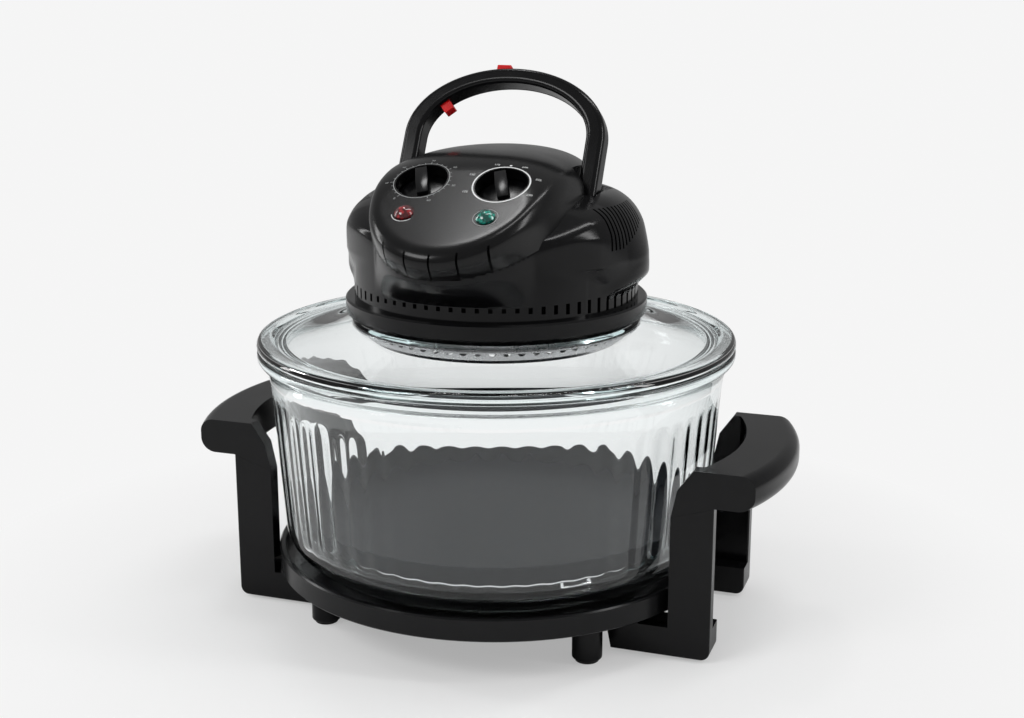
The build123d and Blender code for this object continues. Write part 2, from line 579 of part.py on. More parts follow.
def motor_rotor():
    """Squirrel-cage rotor on the shaft inside the stator bore."""
    body = Pos(0, 0, MOTOR_LOW_Z - 1.0) * extrude(Circle(11.0), MOTOR_STACK + 2.0)
    return body - Pos(0, 0, MOTOR_LOW_Z - 5.0) * extrude(Circle(SHAFT_RADIUS), MOTOR_STACK + 10.0)


def motor_stator():
    """Laminated shaded-pole stack with its bore and corner holes."""
    side = 2 * MOTOR_HALF
    stack = Pos(0, 6.0, MOTOR_LOW_Z) * extrude(Rectangle(side, side + 12.0), MOTOR_STACK)
    stack -= Pos(0, 0, MOTOR_LOW_Z - 1) * extrude(Circle(11.5), MOTOR_STACK + 2)
    stack -= Pos(0, 31.0, MOTOR_LOW_Z - 1) * extrude(Rectangle(side - 20.0, 12.0), MOTOR_STACK + 2)
    return fillet(stack.edges().filter_by(Axis.Z).group_by(Axis.Y)[-1], 2.0)


def motor_coil():
    """Wound bobbin on the stator's back limb."""
    limb = 10.6
    coil = Pos(0, 37.5, MOTOR_LOW_Z + MOTOR_STACK / 2) * Box(2 * MOTOR_HALF - 22.0, limb - 1.0,
                                                            MOTOR_STACK + 9.0)
    core = Pos(0, 37.5 + 1.9, MOTOR_LOW_Z + MOTOR_STACK / 2) * Box(2 * MOTOR_HALF, limb, MOTOR_STACK + 0.4)
    return fillet((coil - core).edges().filter_by(Axis.X).group_by(Axis.Y)[0], 1.0)


def motor_bridges():
    """Two bearing bridges across the stator's ends, each with a boss bored for the shaft."""
    length = 2 * MOTOR_HALF - 2.0
    plate = extrude(Rectangle(length, 14.0), 2.0)
    boss = extrude(Circle(7.0), 6.0)
    low = Pos(0, 0, MOTOR_LOW_Z - SEAM - 2.0 - SEAM - 2.0)
    lower = low * plate + low * Pos(0, 0, -4.0) * boss
    high = Pos(0, 0, MOTOR_LOW_Z + MOTOR_STACK + SEAM + 2.2)
    upper = high * plate + high * boss
    for side in (-1, 1):
        upper += high * Pos(side * (length / 2 - 3.0), 0, -2.2) * extrude(Rectangle(6.0, 14.0), 2.2)
    bore = Pos(0, 0, MOTOR_LOW_Z - 20) * extrude(Circle(SHAFT_RADIUS + RUN_FIT), 80)
    return [lower - bore, upper - bore]


def motor_bracket():
    """Four legs from the flange floor, each with a foot, joined under the stator by a frame."""
    floor_top = DECK_Z + SEAM
    top = MOTOR_LOW_Z - SEAM
    frame = Pos(0, 0, top - 2.0) * extrude(Rectangle(2 * MOTOR_HALF + 52.0, 2 * MOTOR_HALF - 8.0), 2.0)
    frame -= Pos(0, 0, top - 3.0) * extrude(Rectangle(2 * MOTOR_HALF - 12.0, 2 * MOTOR_HALF - 22.0), 4.0)
    for x in (-MOTOR_HALF - 24.0, MOTOR_HALF + 24.0):
        for y in (-MOTOR_HALF + 9.0, MOTOR_HALF - 9.0):
            frame += Pos(x, y, floor_top) * extrude(Rectangle(3.0, 10.0), top - floor_top)
            foot_x = x + (5.0 if x > 0 else -5.0)
            frame += Pos(foot_x, y, floor_top) * extrude(Rectangle(12.0, 10.0), 2.0)
    return frame


def cooling_fan():
    """Moulded impeller that draws room air in at the neck vents and over the motor."""
    z = DECK_Z + 4.0
    fan = Pos(0, 0, z) * extrude(Circle(COOLING_RADIUS), 1.4)
    fan += Pos(0, 0, z) * extrude(Circle(8.0), 11.0)
    span = COOLING_RADIUS - 9.0
    blade = Pos(8.0 + span / 2, 0, z + 5.5) * Rot(0, 0, 14) * Box(span, 1.4, 9.0)
    for i in range(COOLING_BLADES):
        fan += Rot(0, 0, i * 360 / COOLING_BLADES) * blade
    fan = fan & Pos(0, 0, z) * extrude(Circle(COOLING_RADIUS), 14)
    return fan - Pos(0, 0, z - 1) * extrude(Circle(SHAFT_RADIUS), 20)


# ---------------------------------------------------------------- head, mouldings
def oval(half_x, half_y, centre_y, z):
    """Flat oval face, level, at a height."""
    return Pos(0, centre_y, z) * Ellipse(half_x, half_y).faces()[0]


def stacked(sections):
    """Solid through level ovals given as (half x, half y, centre y, height)."""
    return loft([oval(*section) for section in sections], ruled=True)


def housing_envelope(inset):
    """Neck wall, rounded shoulder, and a pod bulging out at each side, as one solid."""
    shoulder = [(NECK_RADIUS, POD_HIGH_Z + 15.0), (NECK_RADIUS - 1.2, POD_HIGH_Z + 21.0),
                (NECK_RADIUS - 4.8, POD_HIGH_Z + 28.0), (NECK_RADIUS - 11.0, POD_HIGH_Z + 34.0),
                (NECK_RADIUS - 22.5, HOUSING_TOP_Z)]
    full = HOUSING_TOP_Z - POD_HIGH_Z
    round_wall = [(r - inset, r - inset, 0, z - inset * (z - POD_HIGH_Z) / full) for r, z in shoulder]
    pods = [(NECK_RADIUS - 1.0, POD_HALF_Y - 9.0, POD_LOW_Z - 8.0), (POD_HALF_X, POD_HALF_Y, POD_LOW_Z),
            (POD_HALF_X, POD_HALF_Y + 4.0, POD_HIGH_Z), (POD_HALF_X - 2.9, POD_HALF_Y + 19.0, POD_HIGH_Z + 13.0),
            (POD_HALF_X - 6.9, POD_HALF_Y + 25.0, POD_HIGH_Z + 20.0),
            (POD_HALF_X - 11.1, POD_HALF_Y + 23.0, POD_HIGH_Z + 27.0),
            (POD_HALF_X - 18.0, POD_HALF_Y + 17.0, POD_HIGH_Z + 34.0),
            (POD_HALF_X - 29.5, POD_HALF_Y + 5.5, HOUSING_TOP_Z)]
    bulge = [(a - inset, b - inset, 0, z - max(0.0, inset * (z - POD_HIGH_Z) / full)) for a, b, z in pods]
    neck_low = FLANGE_TOP_Z + SEAM - (1.0 if inset else 0.0)
    neck_high = POD_HIGH_Z + 15.5
    neck = Pos(0, 0, neck_low) * extrude(Circle(NECK_RADIUS - inset), neck_high - neck_low)
    return neck + stacked(round_wall) + stacked(bulge)


def crown_barrel(inset):
    """Arched cross-section of the crown, drawn out along Y, that the fascia's shoulders round into."""
    a = DOME_HALF_X - inset
    spring = DOME_TOP_Z - DOME_CROWN
    crown = DOME_CROWN - inset
    arch = []
    for i in range(-DOME_STEPS, DOME_STEPS + 1):
        turn = radians(90.0 * i / DOME_STEPS)
        side = 1 if i > 0 else -1
        arch.append((side * a * abs(sin(turn)) ** (2 / DOME_FULLNESS),
                     spring + crown * cos(turn) ** (2 / DOME_FULLNESS) if abs(i) < DOME_STEPS else spring))
    wide = FASCIA_SKIRT_HALF_X + 4.0
    outline = [(-wide, spring - 60.0), (-wide, spring), *arch, (wide, spring), (wide, spring - 60.0)]
    return Pos(0, -20.0, 0) * extrude(Plane.XZ * make_face(Polyline(*outline, close=True)), 130.0)


def fascia_slab(inset, extra=0.0):
    """Tilted oval cap: the face on top, its skirt flaring out to the sides, the rear running into the crown."""
    half_len = FASCIA_LENGTH / 2
    skirt_half = FASCIA_SKIRT_LENGTH / 2
    face = Pos(0, half_len, -inset) * Ellipse(FASCIA_HALF_X - inset, half_len - inset).faces()[0]
    skirt = Pos(0, FASCIA_TUCK + skirt_half, -FASCIA_THICK - extra) * Ellipse(
        FASCIA_SKIRT_HALF_X - inset, skirt_half - inset).faces()[0]
    cap = loft([skirt, face], ruled=True)
    cap = fillet(cap.edges().group_by(Axis.Z)[-1], FASCIA_EDGE)
    return (FASCIA_AXIS * cap) & crown_barrel(inset)


def dome(inset):
    """Low dome behind the fascia: an oval drum whose wall turns over into a rounded crown."""
    a, b = DOME_HALF_X - inset, DOME_HALF_Y - inset
    spring = DOME_TOP_Z - DOME_CROWN
    crown = DOME_CROWN - inset
    sections = [(a, b, DOME_CENTRE_Y, HOUSING_TOP_Z - 30.0)]
    for i in range(DOME_STEPS + 1):
        turn = radians(80.0 * i / DOME_STEPS)
        share = cos(turn) ** (2 / DOME_FULLNESS)
        sections.append((a * share, b * share, DOME_CENTRE_Y, spring + crown * sin(turn) ** (2 / DOME_FULLNESS)))
    return stacked(sections)


def face_cutter(drop):
    """Everything above the fascia's plane, lowered by a drop along its normal."""
    return FASCIA_AXIS * Pos(0, 100.0, 150.0 - drop) * Box(400, 600, 300)


def handle_slot(side, wide=0.0):
    """Space that one leg of the carry handle swings in: a pocket whose floor ramps up to the rear."""
    mid = side * (ARCH_HALF_X - ARCH_BAND / 2)
    width = ARCH_BAND + 3.0 + 2 * wide
    front = PIVOT_Y - ARCH_DEPTH / 2 - 3.5 - wide
    low = PIVOT_Z - 10.5 - wide
    side_view = make_face(Polyline(
        (front, low), (PIVOT_Y + 12.0, low), (PIVOT_Y + 66.0, low + 31.0),
        (PIVOT_Y + 66.0, low + 80.0), (front, low + 80.0), close=True))
    return Pos(mid - width / 2, 0, 0) * extrude(Plane.YZ * side_view, width)


def top_cover_solid(inset):
    """Dome and fascia cap joined, above the parting with the housing."""
    cap = dome(inset) - face_cutter(inset)
    cap += fascia_slab(inset)
    return cap


def cover_region(drop=0.0):
    """Where the top cover is: above the skirt's lower plane in front, and above its tuck-in behind."""
    behind = Pos(0, 0, COVER_TUCK_Z - drop + 100.0) * Box(400, 400, 200)
    front = FASCIA_AXIS * Pos(0, -30.0, -FASCIA_THICK - drop + 100.0) * Box(400, 240, 200)
    return behind + front


def on_face(x, along, rise=0.0):
    """Place on the fascia's sloped face: across, up the slope from the nose, and out of the face."""
    return FASCIA_AXIS * Pos(x, along, rise)


def corbel(inset, rise=0.0):
    """Front wall of the housing, flaring from the round neck out to the fascia's skirt."""
    skirt_half = FASCIA_SKIRT_LENGTH / 2
    low = POD_LOW_Z - 4.0
    upper = FASCIA_AXIS * Pos(0, FASCIA_TUCK + skirt_half, -FASCIA_THICK - SEAM + rise) * Ellipse(
        FASCIA_SKIRT_HALF_X - 1.5 - inset, skirt_half - 1.5 - inset).faces()[0]
    foot = NECK_RADIUS - 0.3 - inset
    lower = Pos(0, 0, low) * Ellipse(foot, foot).faces()[0]
    flare = loft([lower, upper], ruled=True)
    return flare & Pos(0, -54.0 - 100.0, low) * Box(400, 200, 300)


def pod_louvres(side):
    """Parallel slanted cooling slots through the shoulder of one pod."""
    plates = []
    for i in range(POD_LOUVRES):
        y = POD_LOUVRE_START + POD_LOUVRE_PITCH * i
        low = POD_HIGH_Z + 10.0 + max(0, i - 3) * 1.6
        plate = Pos(side * 92.0, y - 2.0, (low + HOUSING_TOP_Z - 4.0) / 2) * Rot(0, 0, side * -24) * Box(
            44.0, POD_LOUVRE_WIDTH, HOUSING_TOP_Z - 4.0 - low)
        plates.append(plate)
    return plates


def neck_vents():
    """Upright slots all round the neck, short under the fascia and taller at the sides and behind."""
    slots = []
    for i in range(VENTS):
        turn = (i + 0.5) * 360 / VENTS
        off_front = 180 - abs(turn - 180)
        share = min(1.0, max(0.0, (off_front - VENT_FRONT_TURN) / (VENT_SIDE_TURN - VENT_FRONT_TURN)))
        low = VENT_FRONT[0] + share * (VENT_SIDE[0] - VENT_FRONT[0])
        high = VENT_FRONT[1] + share * (VENT_SIDE[1] - VENT_FRONT[1])
        slot = Pos(0, -NECK_RADIUS, (low + high) / 2) * Box(VENT_WIDTH, 14.0, high - low)
        slots.append(Rot(0, 0, turn) * slot)
    return slots


def head_housing():
    """Lower housing: neck with its ring of vents, bulging side pods with louvres, fascia corbel."""
    outer = housing_envelope(0) + corbel(0)
    inner = housing_envelope(HOUSING_WALL) + corbel(HOUSING_WALL, rise=2.0)
    opening = dome(-SEAM) + fascia_slab(-SEAM)
    shell = outer - inner
    pockets = [handle_slot(side, HOUSING_WALL) & housing_envelope(0.5) for side in (1, -1)]
    shell = shell + pockets
    shell = shell - (opening & cover_region(SEAM))
    shell = shell - [handle_slot(side) for side in (1, -1)]
    shell = shell - neck_vents()
    shell = shell - pod_louvres(1)
    shell = shell - pod_louvres(-1)
    shell = shell - Pos(0, NECK_RADIUS, GLAND_Z) * Rot(90, 0, 0) * Cylinder(GLAND_RADIUS, 20)
    return shell - pin_holes()


def knob_places():
    return [(-KNOB_X, KNOB_ALONG), (KNOB_X, KNOB_ALONG)]


def lamp_places():
    return [(-KNOB_X, LAMP_ALONG), (KNOB_X, LAMP_ALONG)]


def fascia_notches():
    """Upright grooves down the front of the fascia's skirt, each leaning with the skirt's flare."""
    cutters = []
    face_half, skirt_half = FASCIA_LENGTH / 2, FASCIA_SKIRT_LENGTH / 2
    for i in range(FASCIA_NOTCHES):
        x = NOTCH_PITCH * (i - (FASCIA_NOTCHES - 1) / 2)
        high = face_half * (1 - sqrt(1 - (x / FASCIA_HALF_X) ** 2))
        low = FASCIA_TUCK + skirt_half * (1 - sqrt(1 - (x / FASCIA_SKIRT_HALF_X) ** 2))
        lean = degrees(atan2(high - low, FASCIA_THICK))
        cutter = Pos(0, 0, -NOTCH_DROP - 4.0) * Box(NOTCH_WIDTH, 2 * NOTCH_DEPTH, FASCIA_THICK + 8.0)
        cutters.append(on_face(x, (high + low) / 2, -FASCIA_THICK / 2) * Rot(-lean, 0, 0) * cutter)
    return cutters


def top_cover():
    """Glossy upper moulding: sloped fascia cap and dome, with knob wells, lamp holes, handle pockets."""
    shell = top_cover_solid(0) - top_cover_solid(HOUSING_WALL)
    pockets = [handle_slot(side, HOUSING_WALL) & dome(0.5) for side in (1, -1)]
    shell = shell + pockets
    shell = shell & cover_region()
    shell = shell - [handle_slot(side) for side in (1, -1)]
    for x, along in knob_places():
        shell += on_face(x, along, -KNOB_WELL - 1.5) * extrude(Circle(KNOB_RADIUS + 2.2), KNOB_WELL + 1.4)
        shell -= on_face(x, along, -KNOB_WELL) * extrude(Circle(KNOB_RADIUS + 0.6), KNOB_WELL + 8.0)
        shell -= on_face(x, along, -KNOB_WELL - 4.0) * extrude(Circle(PIN_RADIUS + 0.4), 8.0)
    for x, along in lamp_places():
        shell -= on_face(x, along, -8.0) * extrude(Circle(LAMP_RADIUS + SEAM), 16.0)
    shell = shell - fascia_notches()
    return shell - pin_holes()


def pin_bars(radius, reach):
    """Two bars along the handle's pivot line, one across each pocket."""
    mid = ARCH_HALF_X - ARCH_BAND / 2
    return [rod(radius, (side * mid - reach, PIVOT_Y, PIVOT_Z), (side * mid + reach, PIVOT_Y, PIVOT_Z))
            for side in (1, -1)]


def pivot_pins():
    """Steel pins that the handle's legs turn on, held in the cheeks of each pocket."""
    return pin_bars(PIN_RADIUS, ARCH_BAND / 2 + 4.2)


def pin_holes():
    return pin_bars(PIN_RADIUS + RUN_FIT, ARCH_BAND / 2 + 4.4)


# ---------------------------------------------------------------- controls
def control_knob():
    """Round skirted knob with a raised finger bar and a pointer line, built on the face's axes."""
    low = -KNOB_WELL + SEAT_GAP
    disc = Pos(0, 0, low) * extrude(Circle(KNOB_RADIUS), 3.0)
    disc = fillet(disc.edges().group_by(Axis.Z)[-1], 1.0)
    bar = Pos(0, 0, low + 2.0) * extrude(Rectangle(KNOB_GRIP_WIDTH, 2 * KNOB_RADIUS + 4), 1.0 + KNOB_GRIP_RISE,
                                         taper=6)
    bar = fillet(bar.edges().group_by(Axis.Z)[-1], 1.6)
    bar = bar & Pos(0, 0, low) * extrude(Circle(KNOB_RADIUS - 0.4), 30)
    knob = disc + bar
    knob -= Pos(0, KNOB_RADIUS - 5.5, low + 3.0 + KNOB_GRIP_RISE) * Box(1.2, 8.0, 1.2)
    return knob + Pos(0, 0, low - 10.0) * extrude(Circle(PIN_RADIUS), 11.0)


def switch_unit(depth):
    """Timer or thermostat body under the cover: square case with a bush round the knob's spindle."""
    top = -KNOB_WELL - 1.5 - SEAM
    case = Pos(0, 0, top - 2.0 - depth / 2) * Box(34.0, 34.0, depth)
    case = fillet(case.edges().filter_by(Axis.Z), 3.0)
    case += Pos(0, 0, top - 2.0) * extrude(Circle(8.0), 2.0)
    case -= Pos(0, 0, top - 9.0) * extrude(Circle(PIN_RADIUS + RUN_FIT), 12.0)
    return case


def lamp_lens():
    """Domed lens with a shank through the cover."""
    shank = Pos(0, 0, -4.0) * extrude(Circle(LAMP_RADIUS), 5.0)
    cap_height = 3.4
    r = (LAMP_RADIUS ** 2 + cap_height ** 2) / (2 * cap_height)
    cap = Pos(0, 0, 1.0 + cap_height - r) * Sphere(r)
    cap = cap & Pos(0, 0, 1.0) * extrude(Circle(LAMP_RADIUS), 10)
    return shank + cap


def lamp_holder():
    """Neon holder behind a lens."""
    return Pos(0, 0, -4.0 - SEAM - 14.0) * extrude(Circle(LAMP_RADIUS - 1.0), 14.0)


# ---------------------------------------------------------------- carry handle
def arch_outline(inset_out, inset_in):
    """Closed arch between an outer and an inner curve, upright in its own plane."""
    out_x = ARCH_HALF_X - inset_out
    in_x = ARCH_HALF_X - ARCH_BAND + inset_in
    top_out = ARCH_HEIGHT - inset_out
    top_in = ARCH_HEIGHT - ARCH_CROWN_BAND + inset_in
    base = ARCH_STRAIGHT
    outer = Pos(0, base) * Ellipse(out_x, top_out - base) & Pos(0, base + 100) * Rectangle(400, 200)
    inner = Pos(0, base) * Ellipse(in_x, top_in - base) & Pos(0, base + 100) * Rectangle(400, 200)
    outer += Pos(0, base / 2) * Rectangle(2 * out_x, base)
    inner += Pos(0, base / 2) * Rectangle(2 * in_x, base)
    return outer - inner


ARCH_FRAME = Location((0, PIVOT_Y, PIVOT_Z), (-ARCH_LEAN, 0, 0))


def arch_upright(outline, depth):
    """Extrudes an arch outline symmetrically about the handle's own plane."""
    return extrude(Plane.XZ * outline, depth / 2, both=True)


def handle_arch():
    """Outer shell of the carry handle, with round bored feet and a channel for the inner grip."""
    arch = arch_upright(arch_outline(0, 0), ARCH_DEPTH)
    mid = ARCH_HALF_X - ARCH_BAND / 2
    for side in (1, -1):
        arch += rod(ARCH_DEPTH / 2, (side * mid - ARCH_BAND / 2, 0, 0), (side * mid + ARCH_BAND / 2, 0, 0))
    edges = arch.edges().filter_by(lambda e: e.geom_type == GeomType.ELLIPSE)
    arch = fillet(edges, 3.5)
    channel = arch_upright(arch_outline(ARCH_CROWN_BAND - ARCH_INSERT, -1.0), ARCH_DEPTH - 5.0)
    channel = channel & Pos(0, 0, 100 + ARCH_STRAIGHT - 12.0) * Box(400, 60, 200)
    arch -= channel
    for side in (1, -1):
        arch -= rod(PIN_RADIUS + RUN_FIT, (side * (mid - 12), 0, 0), (side * (mid + 12), 0, 0))
    arch -= button_hole(SEAM)
    arch -= trigger_hole(SEAM)
    return ARCH_FRAME * arch


def handle_insert():
    """Inner grip strip that closes the channel."""
    strip = arch_upright(arch_outline(ARCH_CROWN_BAND - ARCH_INSERT + SEAM, 0.4), ARCH_DEPTH - 5.0 - 2 * SEAM)
    strip = strip & Pos(0, 0, 100 + ARCH_STRAIGHT - 12.0 + SEAM) * Box(400, 60, 200)
    strip -= trigger_hole(SEAM)
    return ARCH_FRAME * strip


def trigger_frame():
    """Place of the lock trigger on the arch's inner curve, its Z pointing inward."""
    x = -TRIGGER_X
    base = ARCH_STRAIGHT
    a = ARCH_HALF_X - ARCH_BAND
    b = ARCH_HEIGHT - ARCH_CROWN_BAND - base
    height = b * sqrt(1 - (x / a) ** 2)
    lean = degrees(atan2(-x * b ** 2, -height * a ** 2))
    return Location((x, 0, base + height), (0, lean, 0))


def trigger_hole(clear):
    width = TRIGGER_SIZE + 2 * clear
    return trigger_frame() * Pos(0, 0, 1.0) * Box(width, width, 2 * TRIGGER_SHAFT + 2 * clear)


def lock_trigger():
    """Square thumb catch that slides into the arch from its inner side."""
    low = 1.0 - TRIGGER_SHAFT + TRIGGER_TRAVEL + SEAM
    block = Pos(0, 0, low) * extrude(Rectangle(TRIGGER_SIZE, TRIGGER_SIZE), TRIGGER_REACH - low)
    block = fillet(block.edges().group_by(Axis.Z)[-1], 0.8)
    return ARCH_FRAME * trigger_frame() * block


def button_hole(clear):
    return Pos(-BUTTON_X, 0, ARCH_HEIGHT - 1.0) * Box(
        BUTTON_LENGTH + 2 * clear, BUTTON_WIDTH + 2 * clear, 9.0 + 2 * clear)


def release_button():
    """Thumb button in the crown of the arch."""
    block = Pos(-BUTTON_X, 0, ARCH_HEIGHT - 2.0 + 2.7) * Box(BUTTON_LENGTH, BUTTON_WIDTH, 5.6)
    block = fillet(block.edges().group_by(Axis.Z)[-1], 1.0)
    return ARCH_FRAME * block


# ---------------------------------------------------------------- small parts in the head
def cord_gland():
    """Strain-relief bush at the back of the housing, where a supply cord would enter."""
    bush = Pos(0, NECK_RADIUS - 6.0, GLAND_Z) * Rot(-90, 0, 0) * extrude(
        Circle(GLAND_RADIUS - SEAM), 9.0)
    bush += Pos(0, NECK_RADIUS + 0.6, GLAND_Z) * Rot(-90, 0, 0) * Cone(
        GLAND_RADIUS + 1.5, 4.6, 20.0, align=(Align.CENTER, Align.CENTER, Align.MIN))
    return bush - Pos(0, NECK_RADIUS - 10.0, GLAND_Z) * Rot(-90, 0, 0) * extrude(Circle(3.4), 40.0)


def terminal_block():
    """Three-way block on the flange's floor."""
    low = DECK_Z + SEAM
    block = Pos(0, 74.0, low + 5.0) * Box(30.0, 14.0, 10.0)
    for x in (-9.0, 0.0, 9.0):
        block -= Pos(x, 74.0, low + 5.0) * Cylinder(2.0, 12.0)
    return block


def thermal_cutout():
    """Snap-disc cut-out on the flange's floor."""
    low = DECK_Z + SEAM
    disc = Pos(-56.0, 46.0, low) * extrude(Circle(8.0), 6.0)
    return disc + Pos(-56.0, 46.0, low + 6.0) * extrude(Circle(5.0), 3.0)


def clamp_screws():
    """Screws up through the retaining ring into the flange."""
    low = LID_CROWN_Z - LID_GLASS - SEAM - 1.2
    head = Pos(0, 0, low - 1.8) * extrude(Circle(2.6), 1.8 - SEAM / 2)
    screw = head + Pos(0, 0, low - SEAM / 2) * extrude(Circle(1.3), 11.0)
    radius = CLAMP_SCREW_RADIUS
    return [Rot(0, 0, 30 + 60 * i) * Pos(radius, 0, 0) * screw for i in range(6)]


def clamp_holes():
    low = LID_CROWN_Z - LID_GLASS - SEAM - 1.2
    hole = Pos(CLAMP_SCREW_RADIUS, 0, low - 1) * extrude(Circle(1.3 + RUN_FIT), 12.4)
    return [Rot(0, 0, 30 + 60 * i) * hole for i in range(6)]


# ---------------------------------------------------------------- assembly
def build_parts():
    """Every node by name."""
    leg = front_right_leg()
    grip = right_grip()
    holes = clamp_holes()
    knob = control_knob()
    (timer_x, timer_y), (heat_x, heat_y) = knob_places()
    lamps = [on_face(x, y) for x, y in lamp_places()]
    return {
        "stand_ring": stand_ring(),
        "stand_feet": stand_feet(),
        "foot_pads": foot_pads(),
        "leg_front_right": leg,
        "leg_front_left": mirrored_x(leg),
        "leg_rear_right": mirrored_y(leg),
        "leg_rear_left": mirrored_x(mirrored_y(leg)),
        "leg_screws": leg_screws(),
        "grip_right": grip,
        "grip_left": mirrored_x(grip),
        "glass_bowl": glass_bowl(),
        "wire_rack": wire_rack(),
        "baking_tray": baking_tray(),
        "glass_lid": glass_lid(),
        "retaining_ring": retaining_ring() - holes,
        "clamp_screws": clamp_screws(),
        "head_flange": head_flange() - holes,
        "reflector": reflector(),
        "fan_guard": fan_guard(),
        "halogen_tube": halogen_tube(),
        "tube_ends": tube_ends(),
        "tube_clips": tube_clips(),
        "convection_fan": convection_fan(),
        "fan_nut": fan_nut(),
        "motor_shaft": motor_shaft(),
        "motor_rotor": motor_rotor(),
        "motor_stator": motor_stator(),
        "motor_coil": motor_coil(),
        "motor_bridges": motor_bridges(),
        "motor_bracket": motor_bracket(),
        "cooling_fan": cooling_fan(),
        "head_housing": head_housing(),
        "top_cover": top_cover(),
        "pivot_pins": pivot_pins(),
        "timer_knob": on_face(timer_x, timer_y) * knob,
        "thermostat_knob": on_face(heat_x, heat_y) * knob,
        "timer_unit": on_face(timer_x, timer_y) * switch_unit(26.0),
        "thermostat_unit": on_face(heat_x, heat_y) * switch_unit(18.0),
        "power_lens": lamps[0] * lamp_lens(),
        "heat_lens": lamps[1] * lamp_lens(),
        "lamp_holders": [place * lamp_holder() for place in lamps],
        "handle_arch": handle_arch(),
        "handle_insert": handle_insert(),
        "lock_trigger": lock_trigger(),
        "release_button": release_button(),
        "cord_gland": cord_gland(),
        "terminal_block": terminal_block(),
        "thermal_cutout": thermal_cutout(),
    }


def as_shape(made):
    """One shape from what a function made: a shape, or a list of separate solids."""
    if isinstance(made, (list, tuple)):
        return Compound(children=[solid for shape in made for solid in shape.solids()])
    return made


def main():
    os.makedirs("parts", exist_ok=True)
    for name, made in build_parts().items():
        shape = as_shape(made)
        shape.label = name
        export_step(shape, f"parts/{name}.step")


main()
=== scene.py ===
"""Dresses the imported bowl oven: materials, glass, printed dial marks, studio floor, lamps and camera."""
import json
from math import cos, pi, radians, sin, sqrt, tan

import bpy
import numpy as np
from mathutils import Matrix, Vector


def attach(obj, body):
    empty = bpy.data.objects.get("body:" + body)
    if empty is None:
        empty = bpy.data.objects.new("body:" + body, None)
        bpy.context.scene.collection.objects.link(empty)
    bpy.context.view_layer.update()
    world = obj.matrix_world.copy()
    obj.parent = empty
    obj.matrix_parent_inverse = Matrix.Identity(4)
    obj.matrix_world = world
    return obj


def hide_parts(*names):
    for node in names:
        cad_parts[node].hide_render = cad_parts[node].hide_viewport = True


MM = 0.001  # lengths are in millimetres until they are written to a mesh
BACK_TONE = 0.915
FLOOR_TONE = 0.90
NOISE_ROUGHNESS = 0.55
SHARP_ANGLE = 0.6  # edges that turn more than this many radians stay sharp

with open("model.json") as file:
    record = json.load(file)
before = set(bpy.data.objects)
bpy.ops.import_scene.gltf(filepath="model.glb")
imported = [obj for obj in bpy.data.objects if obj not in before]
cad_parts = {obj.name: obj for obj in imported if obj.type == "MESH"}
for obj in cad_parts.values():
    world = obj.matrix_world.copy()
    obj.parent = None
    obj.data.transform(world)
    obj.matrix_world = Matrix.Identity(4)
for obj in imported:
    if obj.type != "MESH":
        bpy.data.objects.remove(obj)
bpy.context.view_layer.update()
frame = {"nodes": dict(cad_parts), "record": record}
NODES = frame["nodes"]


# ---------------------------------------------------------------- object helpers
def linked(name, data):
    """A new object of the scene that holds a mesh, curve, light or camera."""
    holder = bpy.data.objects.new(name, data)
    bpy.context.scene.collection.objects.link(holder)
    return holder


def new_mesh(name, verts, faces):
    """A mesh from corners in metres."""
    mesh = bpy.data.meshes.new(name)
    mesh.from_pydata(verts, [], faces)
    return mesh


def evaluated(holder):
    """A mesh of what an object shows once its modifiers are applied."""
    graph = bpy.context.evaluated_depsgraph_get()
    return bpy.data.meshes.new_from_object(holder.evaluated_get(graph))


def shown(name, mesh, sharp=SHARP_ANGLE):
    """Links a mesh as an object, smooth except at edges sharper than an angle."""
    piece = linked(name, mesh)
    mesh.polygons.foreach_set("use_smooth", [True] * len(mesh.polygons))
    mesh.set_sharp_from_angle(angle=sharp)
    return piece


